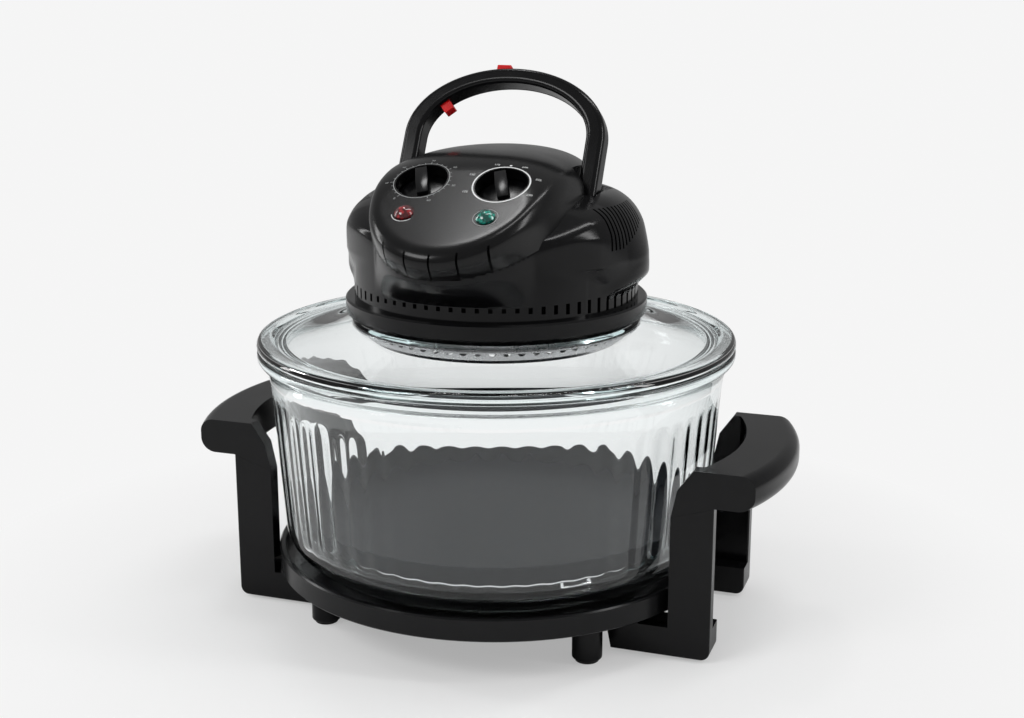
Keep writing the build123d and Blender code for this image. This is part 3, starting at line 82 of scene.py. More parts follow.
# ---------------------------------------------------------------- shader helpers
class Shader:
    """A Principled material and the few node chains that the finishes share."""

    def __init__(self, name):
        self.material = bpy.data.materials.new(name)
        self.material.use_nodes = True
        self.nodes = self.material.node_tree.nodes
        self.links = self.material.node_tree.links
        self.bsdf = self.nodes["Principled BSDF"]
        self.output = self.nodes["Material Output"]
        self.place = None

    def set(self, **values):
        for key, value in values.items():
            self.bsdf.inputs[key.replace("_", " ")].default_value = value
        return self

    def node(self, kind, **inputs):
        made = self.nodes.new(kind)
        for key, value in inputs.items():
            made.inputs[key.replace("_", " ")].default_value = value
        return made

    def coords(self, scale=(1.0, 1.0, 1.0)):
        """Object coordinates, in metres, stretched by a scale."""
        if self.place is None:
            self.place = self.nodes.new("ShaderNodeTexCoord")
        mapping = self.node("ShaderNodeMapping", Scale=scale)
        self.links.new(self.place.outputs["Object"], mapping.inputs["Vector"])
        return mapping.outputs["Vector"]

    def noise(self, scale, detail=3.0, stretch=(1.0, 1.0, 1.0)):
        made = self.node("ShaderNodeTexNoise", Scale=scale, Detail=detail, Roughness=NOISE_ROUGHNESS)
        self.links.new(self.coords(stretch), made.inputs["Vector"])
        return made.outputs["Fac"]

    def spread(self, source, low, high, start=0.3, stop=0.7):
        """Maps a 0 to 1 signal to a range."""
        made = self.nodes.new("ShaderNodeMapRange")
        made.inputs["From Min"].default_value = start
        made.inputs["From Max"].default_value = stop
        made.inputs["To Min"].default_value = low
        made.inputs["To Max"].default_value = high
        self.links.new(source, made.inputs["Value"])
        return made.outputs["Result"]

    def tint(self, source, dark, light, start=0.3, stop=0.7):
        """Colours the surface between two tones by a signal."""
        tones = self.nodes.new("ShaderNodeValToRGB")
        tones.color_ramp.elements[0].position = start
        tones.color_ramp.elements[1].position = stop
        tones.color_ramp.elements[0].color = (*dark, 1.0)
        tones.color_ramp.elements[1].color = (*light, 1.0)
        self.links.new(source, tones.inputs["Fac"])
        self.links.new(tones.outputs["Color"], self.bsdf.inputs["Base Color"])

    def rough(self, source, low, high):
        self.links.new(self.spread(source, low, high), self.bsdf.inputs["Roughness"])

    def bump(self, source, strength, distance):
        """Adds a bump on top of any earlier one."""
        made = self.node("ShaderNodeBump", Strength=strength, Distance=distance)
        self.links.new(source, made.inputs["Height"])
        socket = self.bsdf.inputs["Normal"]
        if socket.is_linked:
            self.links.new(socket.links[0].from_socket, made.inputs["Normal"])
        self.links.new(made.outputs["Normal"], socket)


def moulded_plastic(name, dark, light, low_rough, high_rough, grain, grain_depth, coat=0.0):
    """Injection-moulded plastic: slight flow variation, uneven gloss, fine spark-erosion grain."""
    shader = Shader(name).set(IOR=1.46, Specular_IOR_Level=0.24)
    flow = shader.noise(160.0, 4.0, (1.0, 1.0, 0.6))
    shader.tint(flow, dark, light)
    shader.rough(shader.noise(55.0, 3.0), low_rough, high_rough)
    shader.bump(shader.noise(grain, 2.0), 0.2, grain_depth)
    if coat:
        shader.set(Coat_Weight=coat, Coat_Roughness=0.12)
    return shader.material


def black_satin():
    return moulded_plastic("black_satin", (0.0032, 0.0032, 0.0036), (0.0050, 0.0050, 0.0056), 0.15, 0.19,
                           2600.0, 0.000015)


def black_gloss():
    return moulded_plastic("black_gloss", (0.0028, 0.0028, 0.0030), (0.0044, 0.0044, 0.0048), 0.20, 0.25,
                           2200.0, 0.00001, coat=0.12)


def black_leg():
    return moulded_plastic("black_leg", (0.0034, 0.0034, 0.0038), (0.0054, 0.0054, 0.0060), 0.18, 0.24,
                           2400.0, 0.00002)


def red_plastic():
    return moulded_plastic("red_plastic", (0.55, 0.004, 0.006), (0.72, 0.010, 0.012), 0.22, 0.34,
                           2400.0, 0.00005)


def fan_plastic():
    return moulded_plastic("fan_plastic", (0.20, 0.20, 0.21), (0.26, 0.26, 0.27), 0.4, 0.55, 2000.0, 0.00008)


def ceramic():
    shader = Shader("ceramic").set(Roughness=0.6)
    shader.tint(shader.noise(400.0, 4.0), (0.72, 0.70, 0.64), (0.82, 0.80, 0.75))
    shader.bump(shader.noise(1800.0, 3.0), 0.4, 0.0001)
    return shader.material


def rubber():
    shader = Shader("foot_rubber").set(Specular_IOR_Level=0.3)
    shader.tint(shader.noise(300.0, 4.0), (0.010, 0.010, 0.010), (0.022, 0.022, 0.022))
    shader.rough(shader.noise(900.0, 3.0), 0.6, 0.8)
    shader.bump(shader.noise(2600.0, 2.0), 0.5, 0.00012)
    return shader.material


def sheet_metal(name, dark, light, low_rough, high_rough, stretch=(1.0, 1.0, 1.0)):
    """Rolled or drawn metal: fine streaks and handling smudges."""
    shader = Shader(name).set(Metallic=1.0)
    streaks = shader.noise(900.0, 4.0, stretch)
    shader.tint(streaks, dark, light)
    shader.rough(shader.noise(70.0, 4.0), low_rough, high_rough)
    shader.bump(streaks, 0.18, 0.00005)
    return shader.material


def tray_coat():
    """Dark non-stick enamel with faint fleck."""
    shader = Shader("tray_coat").set(IOR=1.14)
    shader.tint(shader.noise(300.0, 5.0), (0.014, 0.016, 0.020), (0.021, 0.024, 0.029), 0.35, 0.7)
    shader.rough(shader.noise(60.0, 3.0), 0.42, 0.52)
    return shader.material


def seen_directly(nodes, links):
    """1 for camera rays and for rays that come through glass, else 0."""
    path = nodes.new("ShaderNodeLightPath")
    seen = nodes.new("ShaderNodeMath")
    seen.operation = "MAXIMUM"
    links.new(path.outputs["Is Camera Ray"], seen.inputs[0])
    links.new(path.outputs["Is Transmission Ray"], seen.inputs[1])
    return seen.outputs["Value"]


def clear_glass(name, tint, density):
    """Pressed glass: clear in thin walls, blue-green along thick edges."""
    shader = Shader(name).set(IOR=1.47, Transmission_Weight=1.0, Roughness=0.0,
                              Base_Color=(1.0, 1.0, 1.0, 1.0))
    absorb = shader.node("ShaderNodeVolumeAbsorption", Density=density, Color=(*tint, 1.0))
    shader.links.new(absorb.outputs["Volume"], shader.output.inputs["Volume"])
    return shader.material


def quartz():
    shader = Shader("quartz").set(IOR=1.46, Transmission_Weight=0.85, Roughness=0.08)
    shader.tint(shader.noise(200.0, 3.0), (0.90, 0.87, 0.80), (0.97, 0.95, 0.92))
    return shader.material


def lamp_lens(name, deep, glint_tone):
    """Clear coloured dome over a faceted cup. The middle of each facet is painted bright as a painted glint,
    fading to the deep lens colour at its edges.
    """
    shader = Shader(name).set(IOR=1.49, Coat_Weight=1.0, Coat_Roughness=0.03, Transmission_Weight=0.25)
    facets = shader.node("ShaderNodeTexVoronoi", Scale=420.0)
    shader.links.new(shader.coords(), facets.inputs["Vector"])
    # painted glint: each facet's middle takes the bright tone as painted light on the facet, fading to the
    # deep lens colour at its edges
    shader.tint(facets.outputs["Distance"], glint_tone, deep, 0.05, 0.6)
    shader.rough(facets.outputs["Distance"], 0.06, 0.2)
    shader.bump(facets.outputs["Distance"], 0.5, 0.0005)
    return shader.material


MAKERS = {
    "black_plastic": black_satin, "fascia_plastic": black_gloss, "leg_plastic": black_leg,
    "red_plastic": red_plastic, "fan_plastic": fan_plastic, "ceramic": ceramic, "foot_rubber": rubber,
    "tray_steel": tray_coat, "quartz": quartz,
    # the second colour of each lens is the bright tone of its painted facet glints
    "red_lens": lambda: lamp_lens("red_lens", (0.10, 0.002, 0.004), (0.62, 0.03, 0.04)),
    "green_lens": lambda: lamp_lens("green_lens", (0.0, 0.10, 0.075), (0.02, 0.62, 0.46)),
    "glass": lambda: clear_glass("pressed_glass", (0.40, 0.80, 0.82), 7.0),
    "wire_chrome": lambda: sheet_metal("wire_chrome", (0.72, 0.72, 0.73), (0.86, 0.86, 0.87), 0.08, 0.18),
    "guard_steel": lambda: sheet_metal("guard_steel", (0.50, 0.50, 0.51), (0.68, 0.68, 0.69), 0.20, 0.34,
                                       (1.0, 1.0, 6.0)),
    "plain_steel": lambda: sheet_metal("plain_steel", (0.42, 0.42, 0.43), (0.58, 0.58, 0.59), 0.25, 0.4),
    "laminations": lambda: sheet_metal("laminations", (0.16, 0.17, 0.19), (0.30, 0.31, 0.33), 0.35, 0.5,
                                       (0.1, 0.1, 12.0)),
    "copper_winding": lambda: sheet_metal("copper_winding", (0.42, 0.15, 0.06), (0.68, 0.30, 0.14), 0.3,
                                          0.45),
}
FINISH = {}


def finish(slot_name):
    """The material of a record slot, made once."""
    if slot_name not in FINISH:
        FINISH[slot_name] = MAKERS[slot_name]()
    return FINISH[slot_name]


def dress_cad():
    """Gives every CAD node the material of its slot."""
    for part in frame["record"]["subparts"]:
        target = NODES[part["node"]]
        target.data.materials.clear()
        target.data.materials.append(finish(part["material_slot"]))


# ---------------------------------------------------------------- head mouldings
# x runs to the right, y to the back and z up from the table.
SLOPE = radians(29.9)
NOSE = np.array([0.0, -130.3, 269.7])  # foremost point of the sloped face
FACE_UP = np.array([0.0, cos(SLOPE), sin(SLOPE)])
FACE_OUT = np.array([0.0, -sin(SLOPE), cos(SLOPE)])
FACE_HALF = (62.5, 75.3)
KNOBS = ((-27.2, 74.0), (27.2, 74.0))  # x, and the way up the face from the nose
LAMPS = ((-27.2, 40.0), (27.2, 40.0))

SKIRT_NOSE = (-121.5, 253.0)  # y and z of the lower edge's foremost point
SKIRT_RISE = tan(radians(20.4))
SKIRT_HALF = (88.0, 174.3)
SKIRT_HALF_X = 70.5  # where the skirt's flanks run straight back
SKIRT_MIN_DROP = 4.0
SKIRT_OVERRUN = 1.1
TUCK_Z = 290.5  # highest point of the cover's lower edge
CROWN_HALF = (67.5, 95.5)
CROWN_HEIGHT = 29.8
CROWN_SPRING_Z = 292.0
CROWN_MID_Y = -10.0
CROWN_FLARE = 0.25
CROWN_POWER = 2.6

NECK_R = 97.4
SHOULDER_TOP_Z = 292.2
SHOULDER_TURN = 24.0
UNDERSIDE_Z = 232.0  # where pods and apron start to leave the neck
UNDERSIDE_SCALE = 0.7  # the pods' underside slopes at 45 degrees
POD_HALF_X = 106.4
POD_HALF_Y = 72.0
POD_SPREAD = 22.0  # what the pods gain in half length towards their top
POD_SPREAD_Z = (251.0, 22.0)  # start and run
POD_SPREAD_POWER = 1.5
POD_TURN = 40.0
POD_SHOULDER = 46.0
APRON_INSET = 1.4
APRON_CLEARANCE = 0.5
APRON_MIN_RUN = 6.0
APRON_AHEAD = (30.0, 25.0)  # start and run, ahead of the head's axis
APRON_FADE = 12.0
POD_BLEND = 2.0
POD_BLEND_GAIN = 9.0
POD_BLEND_AHEAD = (25.0, 25.0)
POD_BLEND_Z = (240.0, 14.0)
HOUSING_FOOT_Z = 221.4
FAR = 50.0

# A form's span turns its ratio to one into a rough distance. A blend is the width of a soft seam.
FACE_SPAN, SKIRT_SPAN, CROWN_SPAN, POD_SPAN = 58.0, 62.0, 46.0, 88.0
SKIRT_BLEND, CROWN_BLEND, RIM_BLEND, LEDGE_BLEND, UNDER_BLEND, APRON_BLEND = 6.0, 15.0, 7.0, 6.0, 2.0, 1.2

COVER_CENTRE = (0.0, -42.0, 286.0)
HOUSING_CENTRE = (0.0, 0.0, 254.0)
LIFT_SEARCH = (-1.45, 1.2)  # radians
FRONT_SEARCH = (-150.0, -60.0)
HALVINGS = 40
PRINT_HALVINGS = 30


def smooth_max(a, b, k):
    h = np.clip(0.5 + 0.5 * (a - b) / k, 0.0, 1.0)
    return b * (1.0 - h) + a * h + k * h * (1.0 - h)


def smooth_min(a, b, k):
    return -smooth_max(-a, -b, k)


def ramp(value, start, run):
    """0 up to the start, 1 from the start and the run on, straight between."""
    return np.clip((value - start) / run, 0.0, 1.0)


def face_z(y):
    return NOSE[2] + (y - NOSE[1]) * tan(SLOPE)


def skirt_line(y):
    """Height of the plane that the skirt's lower edge lies in."""
    return SKIRT_NOSE[1] + (y - SKIRT_NOSE[0]) * SKIRT_RISE


def skirt_z(y):
    """Height of the cover's lower edge."""
    return np.minimum(skirt_line(y), TUCK_Z)


def egg(x, y, nose_y, half, span):
    """Rough plan distance from an outline that is half an ellipse in front and straight behind it."""
    half_x, half_y = half
    ahead = np.minimum(y - nose_y - half_y, 0.0)
    return (np.hypot(x / half_x, ahead / half_y) - 1.0) * span


def skirt_reach(x, y):
    """How far the skirt's outline lies from the head's axis, in the direction of a place."""
    a, b = SKIRT_HALF
    away = np.maximum(np.hypot(x, y), 1e-6)
    u, v = x / away, y / away
    mid = SKIRT_NOSE[0] + b
    p, q, r = (u / a) ** 2 + (v / b) ** 2, -2.0 * v * mid / b ** 2, (mid / b) ** 2 - 1.0
    return (-q + np.sqrt(q * q - 4.0 * p * r)) / (2.0 * p)


def cover_distance(x, y, z):
    """Signed distance, roughly, from the glossy cover: sloped face, flared skirt and rounded crown."""
    face = (y - NOSE[1]) * FACE_OUT[1] + (z - NOSE[2]) * FACE_OUT[2]
    rim = egg(x, y, NOSE[1], FACE_HALF, FACE_SPAN)
    skirt = smooth_max(egg(x, y, SKIRT_NOSE[0], SKIRT_HALF, SKIRT_SPAN), np.abs(x) - SKIRT_HALF_X,
                       SKIRT_BLEND)
    drop = np.maximum(face_z(y) - skirt_z(y), SKIRT_MIN_DROP)
    depth = np.clip((face_z(y) - z) / drop, 0.0, SKIRT_OVERRUN)
    side = rim * (1.0 - depth) + skirt * depth
    half_x, half_y = CROWN_HALF
    half_x = half_x + CROWN_FLARE * np.maximum(CROWN_SPRING_Z - z, 0.0)
    plan = np.hypot(x / half_x, np.maximum(y - CROWN_MID_Y, 0.0) / half_y)
    rise = np.maximum(z - CROWN_SPRING_Z, 0.0) / CROWN_HEIGHT
    crown = ((plan ** CROWN_POWER + rise ** CROWN_POWER) ** (1 / CROWN_POWER) - 1.0) * CROWN_SPAN
    return smooth_max(smooth_max(face, crown, CROWN_BLEND), side, RIM_BLEND)


def housing_distance(x, y, z):
    """Signed distance, roughly, from the housing: a round neck with a rounded shoulder, a pod bulging
    at each side, and an apron in front that widens up to the skirt."""
    out = np.hypot(x, y)
    body = np.hypot(np.maximum(out - NECK_R + SHOULDER_TURN, 0.0),
                    np.maximum(z - SHOULDER_TOP_Z + SHOULDER_TURN, 0.0)) - SHOULDER_TURN
    body = smooth_max(body, z - skirt_line(y), LEDGE_BLEND)
    half_y = POD_HALF_Y + POD_SPREAD * ramp(z, *POD_SPREAD_Z) ** POD_SPREAD_POWER
    plan = (np.hypot(x / POD_HALF_X, y / half_y) - 1.0) * POD_SPAN
    pod = (np.hypot(np.maximum(plan + POD_TURN, 0.0) / POD_TURN,
                    np.maximum(z - SHOULDER_TOP_Z + POD_SHOULDER, 0.0) / POD_SHOULDER) - 1.0) * POD_TURN
    pod = smooth_max(pod, (out - NECK_R - (z - UNDERSIDE_Z)) * UNDERSIDE_SCALE, UNDER_BLEND)
    top = skirt_z(y)
    share = ramp(z, UNDERSIDE_Z, np.maximum(top - UNDERSIDE_Z, APRON_MIN_RUN))
    share = share * (2.0 - share)
    apron = out - NECK_R - np.maximum(skirt_reach(x, y) - APRON_INSET - NECK_R, 0.0) * share
    apron = np.maximum(apron, z - top + APRON_CLEARANCE)
    apron = np.where(y < -APRON_AHEAD[0], apron, FAR)
    apron = apron + APRON_FADE * (1.0 - ramp(-y, *APRON_AHEAD))
    gain = POD_BLEND_GAIN + POD_BLEND_GAIN * ramp(-y, *POD_BLEND_AHEAD)
    blend = POD_BLEND + gain * ramp(z, *POD_BLEND_Z)
    return smooth_min(smooth_min(body, pod, blend), apron, APRON_BLEND)


def cast(distance, centre, directions, reach=190.0, steps=34):
    """Where each ray from the centre leaves the form."""
    low = np.zeros(len(directions))
    high = np.full(len(directions), reach)
    for _ in range(steps):
        mid = (low + high) / 2
        p = centre + directions * mid[:, None]
        inside = distance(p[:, 0], p[:, 1], p[:, 2]) < 0
        low = np.where(inside, mid, low)
        high = np.where(inside, high, mid)
    return centre + directions * ((low + high) / 2)[:, None]


def rays_at(turn, lift):
    """Unit directions from turns about Z and lifts above level."""
    return np.stack([np.cos(turn) * np.cos(lift), np.sin(turn) * np.cos(lift), np.sin(lift)], -1)


def skin(name, distance, centre, edge_z, around=480, rings=150):
    """Closed mesh of a form seen whole from its centre, filled behind its lowest ring, which lies on the
    given edge surface."""
    centre = np.array(centre)
    turn = np.linspace(0.0, 2 * pi, around, endpoint=False)
    low, high = (np.full(around, end) for end in LIFT_SEARCH)
    for _ in range(HALVINGS):
        mid = (low + high) / 2
        hit = cast(distance, centre, rays_at(turn, mid), steps=26)
        under = hit[:, 2] < edge_z(hit[:, 1])
        low = np.where(under, mid, low)
        high = np.where(under, high, mid)
    start = (low + high) / 2
    rows = [cast(distance, centre, rays_at(turn, start + (pi / 2 - start) * (k / rings)))
            for k in range(rings)]
    crown = cast(distance, centre, np.array([[0.0, 0.0, 1.0]]))[0]
    floor = np.array([centre[0], centre[1], float(np.min(rows[0][:, 2]))])
    points = np.concatenate([*rows, [crown], [floor]])
    faces = []
    for k in range(rings - 1):
        for i in range(around):
            j = (i + 1) % around
            faces.append((k * around + i, k * around + j, (k + 1) * around + j, (k + 1) * around + i))
    last = (rings - 1) * around
    for i in range(around):
        j = (i + 1) % around
        faces.append((last + i, last + j, rings * around))
        faces.append((j, i, rings * around + 1))
    return new_mesh(name, (points * MM).tolist(), faces)


def block_mesh(name, corners_list):
    """One mesh of separate six-sided blocks, each given by eight corners, bottom four then top four."""
    verts, faces = [], []
    for corners in corners_list:
        n = len(verts)
        verts += [tuple(float(c) * MM for c in corner) for corner in corners]
        faces += [(n + 3, n + 2, n + 1, n), (n + 4, n + 5, n + 6, n + 7)]
        faces += [(n + i, n + (i + 1) % 4, n + 4 + (i + 1) % 4, n + 4 + i) for i in range(4)]
    return new_mesh(name, verts, faces)


def box_corners(centre, along, across, up, sizes):
    """Corners of a block with the given axes and full sizes."""
    c, u, v, w = (np.array(k, float) for k in (centre, along, across, up))
    a, b, h = (k / 2 for k in sizes)
    ring = [(-a, -b), (a, -b), (a, b), (-a, b)]
    return [c + u * i + v * j - w * h for i, j in ring] + [c + u * i + v * j + w * h for i, j in ring]


def prism(outline, low, high, place):
    """Closed prism: an outline in a plane, drawn between two heights, put in place by a function."""
    count = len(outline)
    verts = [place(a, b, low) for a, b in outline] + [place(a, b, high) for a, b in outline]
    faces = [tuple(range(count - 1, -1, -1)), tuple(range(count, 2 * count))]
    faces += [(i, (i + 1) % count, count + (i + 1) % count, count + i) for i in range(count)]
    return [tuple(float(c) * MM for c in v) for v in verts], faces


def joined(name, pieces):
    """One mesh of several lists of corners and faces."""
    verts, faces = [], []
    for piece_verts, piece_faces in pieces:
        n = len(verts)
        verts += piece_verts
        faces += [tuple(i + n for i in face) for face in piece_faces]
    return new_mesh(name, verts, faces)


def on_face(x, along, rise=0.0):
    """The place at an x and a way up the sloped face, lifted off it."""
    return NOSE + np.array([x, 0.0, 0.0]) + FACE_UP * along + FACE_OUT * rise


def circle(radius, count=72):
    return [(radius * cos(2 * pi * i / count), radius * sin(2 * pi * i / count)) for i in range(count)]


def carved(name, mesh, cutters, material):
    """The mesh with the cutters' spaces taken out."""
    source = linked(name + "_blank", mesh)
    tools = []
    for i, cutter in enumerate(cutters):
        tool = linked(f"{name}_tool_{i}", cutter)
        step = source.modifiers.new(f"cut_{i}", "BOOLEAN")
        step.operation = "DIFFERENCE"
        step.solver = "EXACT"
        step.object = tool
        tools.append(tool)
    made = evaluated(source)
    for spent in [source, *tools]:
        bpy.data.objects.remove(spent)
    made.materials.clear()
    made.materials.append(material)
    return shown(name, made)


POCKET_OUTLINE = [(-13.5, 279.5), (10.0, 279.5), (64.0, 310.5), (64.0, 360.0), (-13.5, 360.0)]  # y, z
POCKET_X = 65.5
POCKET_HALF = 8.0

VENTS = 72
VENT_R = 97.5
VENT_SIZE = (14.0, 2.75)  # into the wall and along it
VENT_FRONT_Z = (228.5, 231.5)
VENT_GROWTH = (5.3, 1.5)  # how much further down and up the vents at the back reach
VENT_OFF_FRONT = (27.0, 35.0)  # degrees: start and run of that growth

LOUVRES = 12
LOUVRE_LEAN = 24.0
LOUVRE_X = 92.0
LOUVRE_FIRST_Y = -40.0
LOUVRE_STEP = 4.5
LOUVRE_FOOT_Z = 263.0
LOUVRE_FOOT_RISE = 1.6  # of each foot after the fourth
LOUVRE_TOP_Z = 288.4
LOUVRE_SIZE = (44.0, 1.6)

NOTCHES_X = (-32.5, -15.0, 2.0, 19.0, 36.0)
NOTCH_SIZE = (1.3, 5.0)
NOTCH_FOOT = (1.0, -2.0)  # above the lower edge: where the front is found, and where the groove ends
NOTCH_HEAD = (15.0, 17.0)

WELL_R = 17.2
WELL_FLOOR = -12.0
WELL_TOP = 30.0


def pocket_cutters():
    """Pockets that the carry handle's legs swing in."""
    return joined("slot_space", [
        prism(POCKET_OUTLINE, side * POCKET_X - POCKET_HALF, side * POCKET_X + POCKET_HALF,
              lambda y, z, x: (x, y, z)) for side in (-1, 1)])


def vent_cutters():
    """Upright slots round the neck's foot, short in front and longer to the sides and back."""
    blocks = []
    for i in range(VENTS):
        turn = (i + 0.5) * 360.0 / VENTS
        share = ramp(180.0 - abs(turn - 180.0), *VENT_OFF_FRONT)
        low, high = VENT_FRONT_Z[0] - VENT_GROWTH[0] * share, VENT_FRONT_Z[1] + VENT_GROWTH[1] * share
        a = radians(turn - 90.0)
        out = (cos(a), sin(a), 0.0)
        centre = (VENT_R * out[0], VENT_R * out[1], (low + high) / 2)
        blocks.append(box_corners(centre, out, (-out[1], out[0], 0.0), (0, 0, 1), (*VENT_SIZE, high - low)))
    return block_mesh("vent_space", blocks)


def louvre_cutters():
    """Slanted slots that follow each pod's shoulder."""
    blocks = []
    for side in (-1, 1):
        a = radians(-LOUVRE_LEAN * side)
        across = (cos(a), sin(a), 0.0)
        along = (-sin(a), cos(a), 0.0)
        for i in range(LOUVRES):
            low = LOUVRE_FOOT_Z + max(0, i - 3) * LOUVRE_FOOT_RISE
            centre = (side * LOUVRE_X, LOUVRE_FIRST_Y + LOUVRE_STEP * i, (low + LOUVRE_TOP_Z) / 2)
            blocks.append(box_corners(centre, across, along, (0, 0, 1), (*LOUVRE_SIZE, LOUVRE_TOP_Z - low)))
    return block_mesh("louvre_space", blocks)


def front_y(x, z):
    """Where the cover's front surface lies at a place across and a height."""
    low, high = FRONT_SEARCH
    for _ in range(HALVINGS):
        mid = (low + high) / 2
        inside = cover_distance(np.array([x]), np.array([mid]), np.array([z]))[0] < 0
        low, high = (low, mid) if inside else (mid, high)
    return (low + high) / 2


def notch_cutters():
    """Upright grooves down the front of the skirt, from the rim's turn to its lower edge."""
    blocks = []
    a, b = SKIRT_HALF
    across = np.array([1.0, 0.0, 0.0])
    for x in NOTCHES_X:
        base = skirt_line(SKIRT_NOSE[0] + b * (1 - sqrt(1 - (x / a) ** 2)))
        low, high = (np.array([x, front_y(x, base + found), base + end])
                     for found, end in (NOTCH_FOOT, NOTCH_HEAD))
        length = np.linalg.norm(high - low)
        up = (high - low) / length
        blocks.append(box_corners((low + high) / 2, across, np.cross(up, across), up, (*NOTCH_SIZE, length)))
    return block_mesh("notch_space", blocks)


def head_mouldings():
    """The cover and the housing, each a filled form with its openings cut in."""
    cover = skin("cover_blank", cover_distance, COVER_CENTRE, skirt_z)
    wells = joined("well_space", [
        prism(circle(WELL_R), WELL_FLOOR, WELL_TOP, lambda a, b, h, x=x, s=s: on_face(x + a, s + b, h))
        for x, s in KNOBS])
    piece = carved("cover_shell", cover, [wells, notch_cutters(), pocket_cutters()], finish("fascia_plastic"))
    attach(piece, "lid")
    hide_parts("top_cover")
    housing = skin("housing_blank", housing_distance, HOUSING_CENTRE,
                   lambda y: np.full(np.shape(y), HOUSING_FOOT_Z), around=600)
    piece = carved("housing_shell", housing, [vent_cutters(), louvre_cutters(), pocket_cutters()],
                   finish("black_plastic"))
    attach(piece, "lid")
    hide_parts("head_housing")


# ---------------------------------------------------------------- glass
def rounded(points, steps=5):
    """Path through (radius, height, turn) corners, each turned over the given length."""
    path = []
    count = len(points)
    for i, (r, z, turn) in enumerate(points):
        here = np.array([r, z])
        if turn == 0 or i in (0, count - 1):
            path.append(here)
            continue
        before = np.array(points[i - 1][:2]) - here
        after = np.array(points[i + 1][:2]) - here
        start = here + before / np.linalg.norm(before) * turn
        end = here + after / np.linalg.norm(after) * turn
        for k in range(steps + 1):
            t = k / steps
            path.append((1 - t) ** 2 * start + 2 * t * (1 - t) * here + t ** 2 * end)
    return path


def bend(start, middle, end, count=14):
    """Corner-free run of points on the circle through three points."""
    (x1, y1), (x2, y2), (x3, y3) = start, middle, end
    d = 2 * (x1 * (y2 - y3) + x2 * (y3 - y1) + x3 * (y1 - y2))
    s1, s2, s3 = (x ** 2 + y ** 2 for x, y in (start, middle, end))
    ux = (s1 * (y2 - y3) + s2 * (y3 - y1) + s3 * (y1 - y2)) / d
    uy = (s1 * (x3 - x2) + s2 * (x1 - x3) + s3 * (x2 - x1)) / d
    radius = np.hypot(x1 - ux, y1 - uy)
    turns = np.unwrap([np.arctan2(p[1] - uy, p[0] - ux) for p in (start, middle, end)])
    return [(ux + radius * np.cos(a), uy + radius * np.sin(a), 0)
            for a in np.linspace(turns[0], turns[-1], count)]


def lathe(name, path, around, ripple=None):
    """Mesh turned about Z from a closed path; ripple changes a point's radius by its turn and height."""
    turn = np.linspace(0.0, 2 * pi, around, endpoint=False)
    verts, faces = [], []
    count = len(path)
    for k, (r, z) in enumerate(path):
        radius = np.full(around, r)
        if ripple is not None:
            radius = radius + ripple(k, z, turn)
        verts.append(np.stack([radius * np.cos(turn), radius * np.sin(turn), np.full(around, z)], -1))
    for k in range(count):
        m = (k + 1) % count
        for i in range(around):
            j = (i + 1) % around
            faces.append((k * around + i, k * around + j, m * around + j, m * around + i))
    mesh = new_mesh(name, (np.concatenate(verts) * MM).tolist(), faces)
    mesh.update()
    return mesh


LIP_R = 165.0
LIP_TOP_Z = 187.0
WALL_TOP = (151.0, 160.0)  # radius and height of the straight part of the bowl's inner wall
WALL_FALL = (7.0, 94.0)
WALL_STEPS = 30
AXIS_R = 0.6  # a path starts and ends this far from the axis
FLUTES = 60
FLUTE_DEPTH = 0.30
FLUTE_TOP = (158.0, 8.0)  # height where the flutes end, and over which they fade
FLUTE_FOOT = (62.0, 12.0)


def bowl_paths():
    """Outside and inside of the bowl, as (radius, height, turn) corners."""
    outside = [(AXIS_R, 40.5, 0), (114.5, 40.5, 1.0), (115.5, 38.4, 0.8), (123.0, 38.4, 0.8),
               (124.0, 40.5, 1.0)]
    outside += bend((132.0, 40.9), (145.1, 50.5), (149.5, 64.0), 12)
    outside += [(156.4, 163.0, 8.0), (158.2, 172.5, 4.0), (161.5, 180.0, 3.0), (LIP_R, 181.5, 1.6),
                (LIP_R, LIP_TOP_Z, 2.4), (153.6, LIP_TOP_Z, 1.6), (152.2, 184.0, 3.0), (151.0, 163.0, 8.0)]
    inside = [(WALL_TOP[0] - WALL_FALL[0] * k / WALL_STEPS, WALL_TOP[1] - WALL_FALL[1] * k / WALL_STEPS, 0)
              for k in range(WALL_STEPS + 1)]
    inside += bend((143.8, 64.0), (140.0, 54.0), (128.0, 46.1), 12) + [(AXIS_R, 46.0, 0)]
    return rounded(outside), rounded(inside)


def lid_path():
    """Cross-section of the lid: its dome, its rim over the bowl's lip, and the ring that drops inside."""
    path = bend((98.2, 207.2), (130.0, 194.9), (152.0, 192.7), 26)
    path += [(153.8, 193.6, 0.8), (156.0, 194.4, 1.2), (163.0, 194.5, 1.8), (LIP_R, 192.0, 1.8),
             (LIP_R, 189.0, 1.6), (163.2, 187.3, 1.0), (149.8, 187.3, 0.6), (149.8, 181.0, 1.4),
             (147.0, 180.3, 1.2), (144.9, 181.6, 1.0)]
    path += bend((144.9, 188.4), (130.0, 190.9), (98.2, 203.4), 26)
    return rounded(path)


def glass_pieces():
    """The pressed bowl with fine soft flutes inside its wall, and its domed lid."""
    outside, inside = bowl_paths()

    def flutes(k, z, turn):
        if k < len(outside):
            return 0.0
        share = ramp(FLUTE_TOP[0] - z, 0.0, FLUTE_TOP[1]) * ramp(z, *FLUTE_FOOT)
        return FLUTE_DEPTH * share * np.cos(FLUTES * turn)

    bowl = lathe("bowl_glass", outside + inside, 720, flutes)
    lid = lathe("lid_glass", lid_path()[::-1], 360)
    for name, mesh, body, node in (("bowl_glass", bowl, "bowl", "glass_bowl"),
                                   ("lid_glass", lid, "lid", "glass_lid")):
        piece = shown(name, mesh, 0.7)
        mesh.materials.append(finish("glass"))
        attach(piece, body)
        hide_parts(node)


